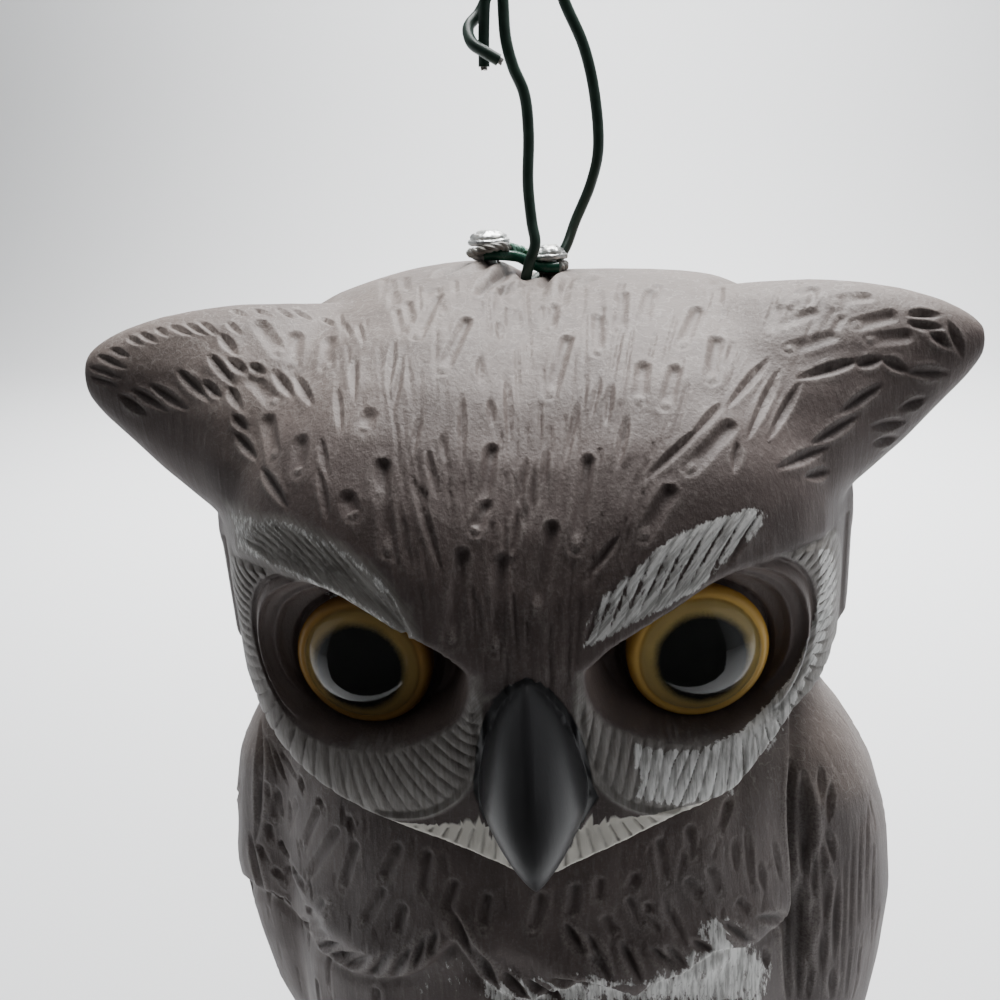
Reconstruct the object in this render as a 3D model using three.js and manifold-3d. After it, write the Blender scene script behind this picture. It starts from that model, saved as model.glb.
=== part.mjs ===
// An owl decoy: one hollow plastic moulding with two glossy eyes set in it, hung by a loop of green
// coated wire that is hooked under a short link between two screws in the crown.
//
// Millimetres, +Z up, the breast towards -Y. The origin is the middle of the underside of the base.
// Left and right are as seen from in front, so the left eye is on the -X side.

import * as THREE from 'three';
import { mergeVertices } from 'three/addons/utils/BufferGeometryUtils.js';
import Module from 'manifold-3d';

const wasm = await Module();
wasm.setup();

// Whole figure
const CROWN_HEIGHT = 430; // from the ground to the middle of the crown
const HEAD_TURN = 8; // degrees that the head looks to the right of the breast
const GAP = 0.3; // clearance where one piece touches another

// Head, measured from the middle of the crown
const HEAD_WIDTH = 179;
const MASK_HEIGHT = 139; // from the crown down to the chin
const FACE_REACH = 92; // from the head's upright axis forward to the middle of the face
const HEAD_BACK = 70; // from the same axis to the back of the head
const CHIN_LEDGE = 14; // how far the mask stands out over the neck
const EAR_SPAN = 236; // tip to tip
const EAR_LIFT = 3.5; // how much higher the left ear's tip is than the right one's

// Eyes and their sockets
const EYE_SPACING = 81.5; // between the middles of the eyes
const EYE_DROP = 82; // from the crown down to the middle of an eye
const EYE_DIAMETER = 35;
const EYE_SINK = 17; // from the middle of the face back to the back of an eye
const EYE_EDGE = 3; // thickness of the amber disc at its edge
const EYE_DOME = 2.6; // how far the amber disc swells from its edge to the cap
const CAP_DIAMETER = 24.6; // the clear cap over the pupil
const CAP_RISE = 6.4;
const SOCKET_WIDTH = 58;
const SOCKET_HEIGHT = 50;
const BRIDGE_SWELL = 4; // how far the bridge between the brows stands out over the mask
const DISC_WIDTH = 68; // the fluted disc round the socket
const DISC_HEIGHT = 83;
const DISC_DISH = 3; // how far the disc sinks from its edge to the socket

// Beak, its size where it stands out of the face
const BEAK_WIDTH = 28;
const BEAK_DROP = 79; // from the crown down to the top of the beak
const BEAK_LENGTH = 54;
const BEAK_STAND = 17; // how far the ridge stands out from the bridge of the face

// Body and wings
const SHOULDER_LIFT = 29; // how far the body reaches up behind the mask's chin
const BREAST_WIDTH = 180;
const BREAST_REACH = 86; // forward from the body's upright axis
const BACK_REACH = 82;
const WING_SPAN = 229; // across both folded wings
const RUFF_STAND = 3.5; // how far the ruff stands out over the breast
const COVERT_STAND = 2.4; // how far the upper wing feathers stand out over the long ones
const QUILL_RIDGE = 1.8; // height of the ridge along a long wing feather
const TAIL_WIDTH = 82;
const TAIL_THICKNESS = 15;

// Feet and base
const BASE_WIDTH = 168;
const BASE_DEPTH = 172;
const BASE_HEIGHT = 16;
const FOOT_SPACING = 58;
const FOOT_SETBACK = 40; // from the front edge of the base back to the root of the toes
const TOE_LENGTH = 34;
const TOE_WIDTH = 13;

// Screws in the crown
const SCREW_SPACING = 18;
const LEFT_SCREW_STAND = 9.6; // from the middle of the crown up to the underside of the head
const RIGHT_SCREW_STAND = 5.7;
const SCREW_HEAD_DIAMETER = 12.4;
const SCREW_HEAD_HEIGHT = 4.2;
const SHANK_DIAMETER = 4.2;
const SHANK_DEPTH = 13; // into the crown
const CROWN_HOLLOW = 8.4; // radius of the pinched hollow between the screws

// Wires
const WIRE_DIAMETER = 3.2; // over the green coat
const CORE_DIAMETER = 2.4; // the bare stranded core round a screw

const EYE_SEAT = FACE_REACH - EYE_SINK;
const SHOULDER_HEIGHT = CROWN_HEIGHT - MASK_HEIGHT + SHOULDER_LIFT;
const FOOT_REACH = BASE_DEPTH / 2 - FOOT_SETBACK;
const half = Math.PI / 2;
const turn = Math.PI * 2;

// Reads a table of rows [place, value, value, ...] at any place, on a smooth curve through the rows
function readTable(table, place) {
  const last = table.length - 1;
  const at = THREE.MathUtils.clamp(place, table[0][0], table[last][0]);
  let i = 0;
  while (i < last - 1 && at > table[i + 1][0]) i += 1;
  const step = table[i + 1][0] - table[i][0];
  const t = (at - table[i][0]) / step;
  const slope = (row, column) => {
    const before = table[Math.max(row - 1, 0)];
    const after = table[Math.min(row + 1, last)];
    return (after[column] - before[column]) / (after[0] - before[0]);
  };
  return table[i].slice(1).map((start, index) => {
    const column = index + 1;
    const end = table[i + 1][column];
    const rise = (3 * t ** 2 - 2 * t ** 3) * (end - start);
    const leave = (t ** 3 - 2 * t ** 2 + t) * step * slope(i, column);
    const arrive = (t ** 3 - t ** 2) * step * slope(i + 1, column);
    return start + rise + leave + arrive;
  });
}

// A closed solid through a row of rings, each with as many points, and a fan at either end
function loft(rings) {
  const count = rings[0].length;
  const points = rings.flat();
  const corners = [];
  for (let r = 0; r < rings.length - 1; r += 1) {
    for (let i = 0; i < count; i += 1) {
      const a = r * count + i;
      const b = r * count + ((i + 1) % count);
      corners.push(a, b, b + count, a, b + count, a + count);
    }
  }
  const ends = [rings[0], rings[rings.length - 1]];
  ends.forEach((ring, end) => {
    const middle = new THREE.Vector3();
    ring.forEach((point) => middle.add(point));
    points.push(middle.divideScalar(count));
    const first = end * (rings.length - 1) * count;
    for (let i = 0; i < count; i += 1) {
      const a = first + i;
      const b = first + ((i + 1) % count);
      corners.push(points.length - 1, end ? a : b, end ? b : a);
    }
  });
  const geometry = new THREE.BufferGeometry();
  geometry.setAttribute('position', new THREE.Float32BufferAttribute(points.flatMap((p) => [p.x, p.y, p.z]), 3));
  geometry.setIndex(corners);
  return geometry;
}

function volumeOf(geometry) {
  const position = geometry.getAttribute('position');
  const corner = [0, 1, 2].map(() => new THREE.Vector3());
  let volume = 0;
  for (let i = 0; i < geometry.index.count; i += 3) {
    corner.forEach((point, c) => point.fromBufferAttribute(position, geometry.index.getX(i + c)));
    volume += corner[0].dot(corner[1].cross(corner[2])) / 6;
  }
  return volume;
}

// Welds a geometry, turns its faces outwards and hands it over for joining and cutting
function solid(geometry) {
  const bare = geometry.clone();
  bare.deleteAttribute('normal');
  bare.deleteAttribute('uv');
  const welded = mergeVertices(bare, 1e-4);
  const corners = Array.from(welded.index.array);
  if (volumeOf(welded) < 0) corners.reverse();
  const mesh = new wasm.Mesh({
    numProp: 3,
    vertProperties: new Float32Array(welded.getAttribute('position').array),
    triVerts: new Uint32Array(corners),
  });
  return new wasm.Manifold(mesh);
}

function geometryOf(manifold) {
  const mesh = manifold.getMesh();
  const geometry = new THREE.BufferGeometry();
  geometry.setAttribute('position', new THREE.Float32BufferAttribute(Array.from(mesh.vertProperties), 3));
  geometry.setIndex(Array.from(mesh.triVerts));
  return geometry;
}

const join = (pieces) => pieces.reduce((all, piece) => all.add(piece));

// Head. Its tables are shares of its own half width, of the mask's height and of the face's reach,
// counted across from the middle, down from the crown and forward from the head's upright axis.
const sideways = HEAD_WIDTH / 2;

// The mask's lower edge from left to right: [across, drop]. It follows the foot of either disc.
const CHIN_EDGE = [
  [-0.92, 0.66],
  [-0.8, 0.735],
  [-0.7, 0.782],
  [-0.62, 0.808],
  [-0.52, 0.841],
  [-0.36, 0.881],
  [-0.24, 0.913],
  [-0.13, 0.951],
  [0.0, 0.99],
  [0.13, 0.951],
  [0.24, 0.915],
  [0.36, 0.872],
  [0.45, 0.85],
  [0.54, 0.828],
  [0.61, 0.78],
  [0.67, 0.742],
  [0.72, 0.712],
  [0.8, 0.69],
  [0.92, 0.65],
];

// The brow's lip from the beak outwards: [across, drop, reach]
const BROW_LIP = [
  [0.0, 0.55, 1.043],
  [0.15, 0.545, 1.046],
  [0.22, 0.514, 1.043],
  [0.36, 0.464, 1.016],
  [0.5, 0.41, 0.978],
  [0.67, 0.391, 0.895],
  [0.8, 0.396, 0.78],
  [0.92, 0.41, 0.55],
];

// The crown's ridge line from left to right: [across, rise]. The left side stands a little higher.
const CROWN_LINE = [
  [-0.92, -0.17],
  [-0.8, -0.08],
  [-0.66, -0.02],
  [-0.5, 0.012],
  [-0.36, 0.032],
  [-0.17, 0.042],
  [-0.07, 0.035],
  [0.0, 0.01],
  [0.1, 0.012],
  [0.24, 0.01],
  [0.5, -0.002],
  [0.66, -0.022],
  [0.8, -0.08],
  [0.92, -0.17],
];

const CROWN_SETBACK = 5; // the crown's highest line behind the head's axis
const HEAD_STATIONS = [0, 0.055, 0.11, 0.15, 0.22, 0.3, 0.38, 0.46, 0.54, 0.63, 0.725, 0.8, 0.86, 0.92];
const HEAD_SIDE = [[0.955, 0.88], [0.985, 0.66], [0.998, 0.32]]; // [across, size] of the rounded side

const SOCKET_ACROSS = EYE_SPACING / 2 + 1.5;
const SOCKET_DROP = EYE_DROP - 5;
const DISC_ACROSS = EYE_SPACING / 2 + 5;
const SOCKET_SLANT = 0.32; // how much the outer floor of a socket falls back per millimetre

const maskReach = (across) => FACE_REACH * Math.sqrt(1 - Math.abs(across / sideways) ** 4);

// The swell between the brows, dying out sideways and down along the beak
function bridgeSwell(across, drop) {
  const width = 1 - THREE.MathUtils.smoothstep(Math.abs(across), BEAK_WIDTH * 0.45, BEAK_WIDTH * 0.8);
  const length = 1 - THREE.MathUtils.smoothstep(drop, BEAK_DROP - 6, BEAK_DROP + BEAK_LENGTH * 0.5);
  return BRIDGE_SWELL * width * length;
}

// How far forward the face stands below the brow: mask, fluted disc and the socket sunk in it
function faceReach(across, drop) {
  const out = Math.abs(across);
  const mask = maskReach(across) + bridgeSwell(across, drop);
  const inSocket = Math.hypot((out - SOCKET_ACROSS) / (SOCKET_WIDTH / 2), (drop - SOCKET_DROP) / (SOCKET_HEIGHT / 2));
  const inDisc = Math.hypot((out - DISC_ACROSS) / (DISC_WIDTH / 2), (drop - SOCKET_DROP) / (DISC_HEIGHT / 2));
  const dish = DISC_DISH * THREE.MathUtils.smoothstep(1 - inDisc, 0, 0.35);
  const floor = EYE_SEAT - 1 - SOCKET_SLANT * Math.max(out - EYE_SPACING / 2, 0);
  const wall = THREE.MathUtils.smoothstep(inSocket, 0.78, 1);
  return Math.min(mask, floor) * (1 - wall) + (mask - dish) * wall;
}

// The head's outline in the upright plane at one place across, as [reach, drop] rows
function headOutline(across) {
  const share = Math.abs(across) / sideways;
  const mask = maskReach(across);
  const chin = readTable(CHIN_EDGE, across / sideways)[0] * MASK_HEIGHT;
  const [lipDrop, lipReach] = readTable(BROW_LIP, share);
  const crown = -readTable(CROWN_LINE, across / sideways)[0] * MASK_HEIGHT;
  const lip = { drop: lipDrop * MASK_HEIGHT, reach: lipReach * FACE_REACH };
  const back = HEAD_BACK * Math.sqrt(1 - share ** 2.4);
  const spread = 1 - ((Math.abs(across) - SOCKET_ACROSS) / (SOCKET_WIDTH / 2)) ** 2;
  const socketFoot = SOCKET_DROP + (SOCKET_HEIGHT / 2) * Math.sqrt(Math.max(spread, 0.2));
  const throat = MASK_HEIGHT + 17;
  const nape = EYE_DROP;

  const outline = [[10, throat], [mask - CHIN_LEDGE, chin + 1.5], [mask, chin]];
  for (let i = 1; i <= 3; i += 1) {
    const drop = THREE.MathUtils.lerp(chin, socketFoot, i / 3);
    outline.push([faceReach(across, drop), drop]);
  }
  for (let i = 1; i <= 6; i += 1) {
    const drop = THREE.MathUtils.lerp(socketFoot, lip.drop + 1.2, i / 6);
    outline.push([faceReach(across, drop), drop]);
  }
  for (let i = 0; i <= 8; i += 1) {
    const lean = (half * i) / 8;
    const reach = THREE.MathUtils.lerp(-CROWN_SETBACK, lip.reach, Math.cos(lean));
    outline.push([reach, THREE.MathUtils.lerp(lip.drop, crown, Math.sin(lean))]);
  }
  for (let i = 1; i <= 6; i += 1) {
    const lean = (half * i) / 6;
    const reach = THREE.MathUtils.lerp(-CROWN_SETBACK, -back, Math.sin(lean));
    outline.push([reach, THREE.MathUtils.lerp(nape, crown, Math.cos(lean))]);
  }
  outline.push([-back * 0.95, MASK_HEIGHT * 0.71], [-back * 0.6, throat]);
  return outline;
}

function headSolid() {
  const ring = (across, outline) => outline.map(([reach, drop]) => new THREE.Vector3(across, -reach, -drop));
  const across = HEAD_STATIONS.map((share) => share * sideways);
  const widest = across[across.length - 1];
  const side = (sign) => HEAD_SIDE.map(([place, size]) => {
    const outline = headOutline(sign * widest);
    const shrunk = outline.map(([reach, drop]) => [12 + (reach - 12) * size, EYE_DROP + (drop - EYE_DROP) * size]);
    return ring(sign * place * sideways, shrunk);
  });
  const left = across.slice(1).reverse().map((place) => ring(-place, headOutline(-place)));
  const right = across.map((place) => ring(place, headOutline(place)));
  return loft([...side(-1).reverse(), ...left, ...right, ...side(1)]);
}

// An ear tuft from inside the head to its tip, leaning forward at the foot:
// [across, top reach, top drop, foot reach, foot drop, thickness]
const EAR_TUFT = [
  [0.3, 0.065, 0.05, 0.89, 0.4, 0.14],
  [0.43, 0.13, 0.035, 0.85, 0.39, 0.23],
  [0.53, 0.2, 0.025, 0.78, 0.385, 0.25],
  [0.64, 0.26, 0.012, 0.67, 0.368, 0.235],
  [0.73, 0.315, 0.01, 0.56, 0.345, 0.21],
  [0.82, 0.35, 0.022, 0.49, 0.298, 0.18],
  [0.9, 0.38, 0.044, 0.455, 0.233, 0.142],
  [0.95, 0.4, 0.066, 0.44, 0.192, 0.11],
  [0.985, 0.418, 0.09, 0.435, 0.152, 0.07],
];

function earSolid(sign) {
  const count = 14;
  const rings = EAR_TUFT.map(([out, topReach, topDrop, footReach, footDrop, thick]) => {
    const lift = sign < 0 ? EAR_LIFT * out ** 2 : 0;
    const top = new THREE.Vector2(-topReach * FACE_REACH, lift - topDrop * MASK_HEIGHT);
    const foot = new THREE.Vector2(-footReach * FACE_REACH, -footDrop * MASK_HEIGHT);
    const middle = top.clone().add(foot).divideScalar(2);
    const along = top.clone().sub(foot).divideScalar(2);
    const through = new THREE.Vector2(-along.y, along.x).setLength((thick * MASK_HEIGHT) / 2);
    return Array.from({ length: count }, (_, i) => {
      const angle = (turn * i) / count;
      const point = middle.clone().addScaledVector(along, Math.cos(angle)).addScaledVector(through, Math.sin(angle));
      return new THREE.Vector3((sign * out * EAR_SPAN) / 2, point.x, point.y);
    });
  });
  return loft(rings);
}

// The beak from its root down to its hooked tip: [down, half width, stand of the ridge, foot of the sides]
const BEAK = [
  [0.0, 0.3, 0.24, -8],
  [0.09, 0.58, 0.45, -8],
  [0.24, 0.8, 0.72, -8],
  [0.4, 0.92, 0.9, -8],
  [0.54, 1.0, 1.0, -8],
  [0.6, 1.0, 1.0, -8],
  [0.66, 0.8, 1.0, -8],
  [0.78, 0.66, 0.93, -8],
  [0.88, 0.46, 0.8, -4],
  [0.95, 0.25, 0.65, 1],
  [1.0, 0.06, 0.5, 6],
];

function beakSolid() {
  const count = 9;
  const rings = BEAK.map(([down, width, stand, foot]) => {
    const drop = BEAK_DROP + down * BEAK_LENGTH;
    return Array.from({ length: count }, (_, i) => {
      const angle = (Math.PI * i) / (count - 1);
      const across = (width * BEAK_WIDTH * Math.cos(angle)) / 2;
      const reach = FACE_REACH + THREE.MathUtils.lerp(foot, stand * BEAK_STAND, Math.sin(angle));
      return new THREE.Vector3(across, -reach, -drop);
    });
  });
  return loft(rings);
}

// Body. Its tables are shares of the shoulder's height and of the breast's and wings' own sizes.
// The trunk from the base up: [height, half width, forward, back]
const TRUNK = [
  [0.03, 0.66, 0.52, 0.72],
  [0.12, 0.73, 0.64, 0.83],
  [0.22, 0.82, 0.77, 0.91],
  [0.34, 0.93, 0.88, 0.97],
  [0.5, 1.0, 0.975, 1.0],
  [0.62, 1.0, 1.0, 0.975],
  [0.73, 0.98, 0.965, 0.95],
  [0.82, 0.955, 0.92, 0.915],
  [0.89, 0.93, 0.885, 0.88],
  [0.95, 0.89, 0.81, 0.83],
  [1.0, 0.73, 0.64, 0.7],
];
const RUFF_FOOT = 0.765; // lowest point of a ruff lobe, as a share of the shoulder's height
const RUFF_LOBE = 0.47; // middle of a lobe, as a share of the breast's half width
const RUFF_RISE = 15; // how much higher the ruff's edge is between and beside the lobes
const BELLY_STATIONS = [0.03, 0.08, 0.14, 0.2, 0.27, 0.34, 0.42, 0.5, 0.58, 0.65, 0.71];
const RUFF_STATIONS = [RUFF_FOOT - 0.01, RUFF_FOOT + 0.01, 0.81, 0.845, 0.88, 0.92, 0.955, 0.98, 1];

// One point of an oval with flattened sides, at an angle from +X
function ovalPoint(angle, halfWidth, forward, back, squareness) {
  const power = 2 / squareness;
  const across = Math.sign(Math.cos(angle)) * Math.abs(Math.cos(angle)) ** power;
  const along = Math.sign(Math.sin(angle)) * Math.abs(Math.sin(angle)) ** power;
  return new THREE.Vector2(across * halfWidth, along * (along < 0 ? forward : back));
}

// The rings of the trunk rise with the edge of the ruff, which hangs in two lobes over the breast
function ruffRise(across, share) {
  const fromLobe = (Math.abs(across) / (BREAST_WIDTH / 2) - RUFF_LOBE) / RUFF_LOBE;
  const near = share < RUFF_FOOT
    ? THREE.MathUtils.smoothstep(share, 0.5, RUFF_FOOT)
    : 1 - THREE.MathUtils.smoothstep(share, RUFF_FOOT, 0.955);
  return RUFF_RISE * Math.min(fromLobe ** 2, 1) * near;
}

function trunkSolid() {
  const count = 30;
  const rings = [...BELLY_STATIONS, ...RUFF_STATIONS].map((share) => {
    const [width, forward, back] = readTable(TRUNK, share);
    return Array.from({ length: count }, (_, i) => {
      const sizes = [(width * BREAST_WIDTH) / 2, forward * BREAST_REACH, back * BACK_REACH, 2.3];
      const point = ovalPoint((turn * (i + 0.5)) / count, ...sizes);
      const front = THREE.MathUtils.smoothstep(-point.y, 0, BREAST_REACH / 2);
      const height = share * SHOULDER_HEIGHT + front * ruffRise(point.x, share);
      if (share > RUFF_FOOT) point.setLength(point.length() + RUFF_STAND * front);
      return new THREE.Vector3(point.x, point.y, height);
    });
  });
  return loft(rings);
}

// A folded wing from the shoulder down to its tip beside the tail:
// [height, outermost, middle across, middle back, half depth]
const WING = [
  [0.167, 0.44, 0.358, 51, 12],
  [0.22, 0.576, 0.419, 45, 28],
  [0.297, 0.734, 0.498, 36, 38],
  [0.39, 0.86, 0.568, 24, 49],
  [0.5, 0.95, 0.62, 15, 54],
  [0.594, 0.98, 0.646, 10, 55],
  [0.694, 1.0, 0.664, 7, 53],
  [0.75, 0.995, 0.655, 5, 51],
  [0.806, 0.97, 0.646, 3, 49],
  [0.86, 0.925, 0.629, 1, 47],
  [0.906, 0.855, 0.603, 0, 42],
  [0.947, 0.765, 0.576, 0, 33],
  [0.985, 0.66, 0.53, 0, 17],
];
const WING_SLANT = 0.2; // how much a row of feathers falls per millimetre towards the back
const COVERT_FOOT = 0.475; // lower edge of the upper wing feathers, as a share of the shoulder's height
const QUILL_STATIONS = [0.167, 0.22, 0.297, 0.38, COVERT_FOOT - 0.01];
const COVERT_STATIONS = [COVERT_FOOT + 0.01, 0.55, 0.63, 0.72, 0.8, 0.86, 0.906, 0.947, 0.985];

function wingSolid(sign) {
  const count = 20;
  const rings = [...QUILL_STATIONS, ...COVERT_STATIONS].map((share) => {
    const [outermost, middle, back, depth] = readTable(WING, share);
    const halfWidth = ((outermost - middle) * WING_SPAN) / 2;
    const isQuill = share < COVERT_FOOT;
    return Array.from({ length: count }, (_, i) => {
      const point = ovalPoint((turn * i) / count, halfWidth, depth, depth, 2.3);
      const sunk = isQuill ? COVERT_STAND - (i % 2) * QUILL_RIDGE : 0;
      point.setLength(point.length() - sunk);
      const height = share * SHOULDER_HEIGHT - WING_SLANT * point.y;
      return new THREE.Vector3(sign * ((middle * WING_SPAN) / 2 + point.x), back + point.y, height);
    });
  });
  return loft(rings);
}

// The tail behind the wing tips, with one ridge for each feather: [height, half width, middle back]
const TAIL = [
  [0.03, 0.94, 0.9],
  [0.08, 1.0, 0.9],
  [0.18, 0.96, 0.87],
  [0.3, 0.86, 0.86],
  [0.44, 0.7, 0.84],
];
const TAIL_FEATHERS = 5;
const FEATHER_RIDGE = 2.2;

function tailSolid() {
  const edges = TAIL_FEATHERS * 2;
  const rings = TAIL.map(([share, width, back]) => {
    const height = share * SHOULDER_HEIGHT;
    const halfWidth = (width * TAIL_WIDTH) / 2;
    const behind = back * BACK_REACH;
    const outline = Array.from({ length: edges + 1 }, (_, i) => {
      const across = THREE.MathUtils.lerp(halfWidth, -halfWidth, i / edges);
      const ridge = i % 2 ? FEATHER_RIDGE : 0;
      return new THREE.Vector3(across, behind + TAIL_THICKNESS / 2 + ridge, height);
    });
    outline.push(new THREE.Vector3(-halfWidth * 0.8, behind - TAIL_THICKNESS / 2, height));
    outline.push(new THREE.Vector3(halfWidth * 0.8, behind - TAIL_THICKNESS / 2, height));
    return outline;
  });
  return loft(rings);
}

// A toe from the foot forward to its claw: [along, height of its middle, thickness]
const TOE = [
  [-0.3, 0.5, 0.9],
  [0.1, 0.55, 1.0],
  [0.42, 0.5, 0.85],
  [0.6, 0.42, 0.95],
  [0.76, 0.3, 0.5],
  [1.0, -0.02, 0.14],
];
const TOE_SPREAD = 24; // degrees between neighbouring toes

function toeSolid(sign, spread) {
  const count = 7;
  const heading = THREE.MathUtils.degToRad(spread);
  const forward = new THREE.Vector3(Math.sin(heading), -Math.cos(heading), 0);
  const across = new THREE.Vector3(forward.y, -forward.x, 0);
  const root = new THREE.Vector3((sign * FOOT_SPACING) / 2, -FOOT_REACH, BASE_HEIGHT);
  const rings = TOE.map(([along, height, thick]) => {
    const middle = root.clone().addScaledVector(forward, along * TOE_LENGTH);
    middle.z += height * TOE_WIDTH;
    const radius = (thick * TOE_WIDTH) / 2;
    return Array.from({ length: count }, (_, i) => {
      const angle = (turn * i) / count;
      const point = middle.clone().addScaledVector(across, Math.cos(angle) * radius);
      point.z += Math.sin(angle) * radius;
      return point;
    });
  });
  return loft(rings);
}

// The feathered leg over a foot, from inside the belly down to the toes
function legSolid(sign) {
  const leg = new THREE.SphereGeometry(1, 14, 8);
  leg.scale(FOOT_SPACING * 0.42, FOOT_REACH * 0.66, SHOULDER_HEIGHT * 0.17);
  leg.translate((sign * FOOT_SPACING) / 2, -FOOT_REACH * 0.9, SHOULDER_HEIGHT * 0.185);
  return leg;
}

// The low base, an oval with a rounded shoulder: [height, inset]
const BASE_EDGE = 4;
const BASE_RINGS = [
  [0, 1],
  [1.5, 0],
  [BASE_HEIGHT - BASE_EDGE, 1],
  [BASE_HEIGHT - BASE_EDGE * 0.3, 1 + BASE_EDGE * 0.3],
  [BASE_HEIGHT, 1 + BASE_EDGE],
];

function baseSolid() {
  const count = 36;
  const rings = BASE_RINGS.map(([height, inset]) => Array.from({ length: count }, (_, i) => {
    const depth = BASE_DEPTH / 2 - inset;
    const point = ovalPoint((turn * i) / count, BASE_WIDTH / 2 - inset, depth, depth, 2.3);
    return new THREE.Vector3(point.x, point.y, height);
  }));
  return loft(rings);
}

// Eyes. An eye is turned about its own axis, from its flat back to the top of the clear cap.
const EYE_SPLAY = 4; // degrees that an eye looks outwards

function eyeGeometry(grow) {
  const edge = EYE_DIAMETER / 2 + grow;
  const cap = CAP_DIAMETER / 2 + grow;
  const capFoot = EYE_EDGE + EYE_DOME;
  const profile = [new THREE.Vector2(0, -grow), new THREE.Vector2(edge, -grow), new THREE.Vector2(edge, EYE_EDGE)];
  profile.push(new THREE.Vector2((edge + cap) / 2, EYE_EDGE + EYE_DOME * 0.62 + grow));
  for (let i = 0; i <= 4; i += 1) {
    const lean = (half * i) / 4;
    profile.push(new THREE.Vector2(cap * Math.cos(lean), capFoot + grow + CAP_RISE * Math.sin(lean)));
  }
  profile[profile.length - 1].x = 0;
  return new THREE.LatheGeometry(profile, 20);
}

// Where the head sits on the body, and where an eye sits in the head
const headFrame = new THREE.Matrix4()
  .makeTranslation(0, 0, CROWN_HEIGHT)
  .multiply(new THREE.Matrix4().makeRotationZ(THREE.MathUtils.degToRad(HEAD_TURN)));

function eyeFrame(sign) {
  return new THREE.Matrix4()
    .makeTranslation((sign * EYE_SPACING) / 2, -EYE_SEAT, -EYE_DROP)
    .multiply(new THREE.Matrix4().makeRotationZ(THREE.MathUtils.degToRad(sign * EYE_SPLAY)))
    .multiply(new THREE.Matrix4().makeRotationX(Math.PI));
}

// Screws, standing a little proud of the crown: [name, across, back, height of the head's underside].
// The pair sits a little to the left of the middle and the right one a little further back.
const SCREW_SHIFT = 0.4;
const SCREW_STAGGER = 2;
const SCREWS = [
  ['left_screw', -SCREW_SPACING / 2 - SCREW_SHIFT, 0, LEFT_SCREW_STAND],
  ['right_screw', SCREW_SPACING / 2 - SCREW_SHIFT, SCREW_STAGGER, RIGHT_SCREW_STAND],
];
const HEAD_RIM = 0.9; // thickness of a screw head at its edge

function screwGeometry(seat) {
  const shank = SHANK_DIAMETER / 2;
  const profile = [new THREE.Vector2(0, -SHANK_DEPTH), new THREE.Vector2(shank, -SHANK_DEPTH + shank)];
  profile.push(new THREE.Vector2(shank, seat));
  profile.push(new THREE.Vector2(SCREW_HEAD_DIAMETER / 2, seat));
  profile.push(new THREE.Vector2(SCREW_HEAD_DIAMETER / 2, seat + HEAD_RIM));
  for (let i = 1; i <= 4; i += 1) {
    const lean = (half * i) / 4;
    const rise = seat + HEAD_RIM + (SCREW_HEAD_HEIGHT - HEAD_RIM) * Math.sin(lean);
    profile.push(new THREE.Vector2((Math.cos(lean) * SCREW_HEAD_DIAMETER) / 2, rise));
  }
  profile[profile.length - 1].x = 0;
  return new THREE.LatheGeometry(profile, 16).rotateX(half);
}

// The drilled hole that a screw's shank stands in, open at the crown
function screwHole(back) {
  const depth = SHANK_DEPTH + GAP;
  const hole = new THREE.CylinderGeometry(SHANK_DIAMETER / 2 + GAP, SHANK_DIAMETER / 2 + GAP, depth * 2, 16);
  return hole.rotateX(half).translate(back[0], back[1], 0);
}

// Wires, as points in the head's own frame
const HANGER_ROUTE = [
  [-7.6, -0.4, 57.4],
  [-7.1, 0, 66.5],
  [-6.0, 0, 76],
  [-3.6, 0, 87],
  [1.2, 0, 95.5],
  [7.0, 0, 93],
  [11.2, 0, 84],
  [14.8, 0, 72.4],
  [19.8, 0, 60.6],
  [22.4, 0, 48],
  [22.9, 0.4, 33.8],
  [20.6, 2.5, 25],
  [16.0, 6, 15],
  [12.4, 9.2, 6.6],
  [8.4, 10.2, 2.2],
  [4.6, 6.6, -0.6],
  [2.4, 1.6, -1.8],
  [1.0, -3.2, -0.4],
  [2.3, -5.0, 4.8],
  [4.2, -4.6, 10],
  [3.5, -3, 15.8],
  [2.9, -1.5, 26.2],
  [3.7, -0.4, 40],
  [3.0, 0, 50],
  [0.3, 0, 57],
  [-1.3, 0.6, 64],
  [-1.6, 2.4, 74],
  [-1.8, 3.6, 83],
  [-3.6, 5.2, 89],
  [-6.4, 5.8, 84],
  [-5.6, 4.9, 77],
  [-8.2, 4.3, 71.5],
  [-11.3, 0.8, 67.6],
  [-10.2, -3.2, 63.2],
  [-6.4, -4.9, 60.4],
  [-3.2, -4.6, 58.4],
];
const LINK_ROUTE = [
  [-10.6, -4.2, 7.6],
  [-7.5, -4.1, 7.5],
  [-4.0, -2.6, 7.0],
  [-0.6, -0.4, 6.0],
  [2.2, 0.2, 4.3],
  [5.2, -1.2, 3.2],
  [8.4, -2.4, 2.9],
  [10.6, -2.2, 2.9],
];
const HANGER_STEPS = 54;

function tube(points, diameter, sides, steps) {
  const route = new THREE.CatmullRomCurve3(points.map((point) => new THREE.Vector3(...point)));
  const section = new THREE.Shape();
  for (let i = 0; i < sides; i += 1) {
    const angle = (turn * i) / sides;
    const corner = [(diameter / 2) * Math.cos(angle), (diameter / 2) * Math.sin(angle)];
    if (i === 0) section.moveTo(...corner);
    else section.lineTo(...corner);
  }
  section.closePath();
  return new THREE.ExtrudeGeometry(section, { steps, extrudePath: route, bevelEnabled: false });
}

const hangerGeometry = (grow) => tube(HANGER_ROUTE, WIRE_DIAMETER + grow * 2, 7, HANGER_STEPS);

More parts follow.
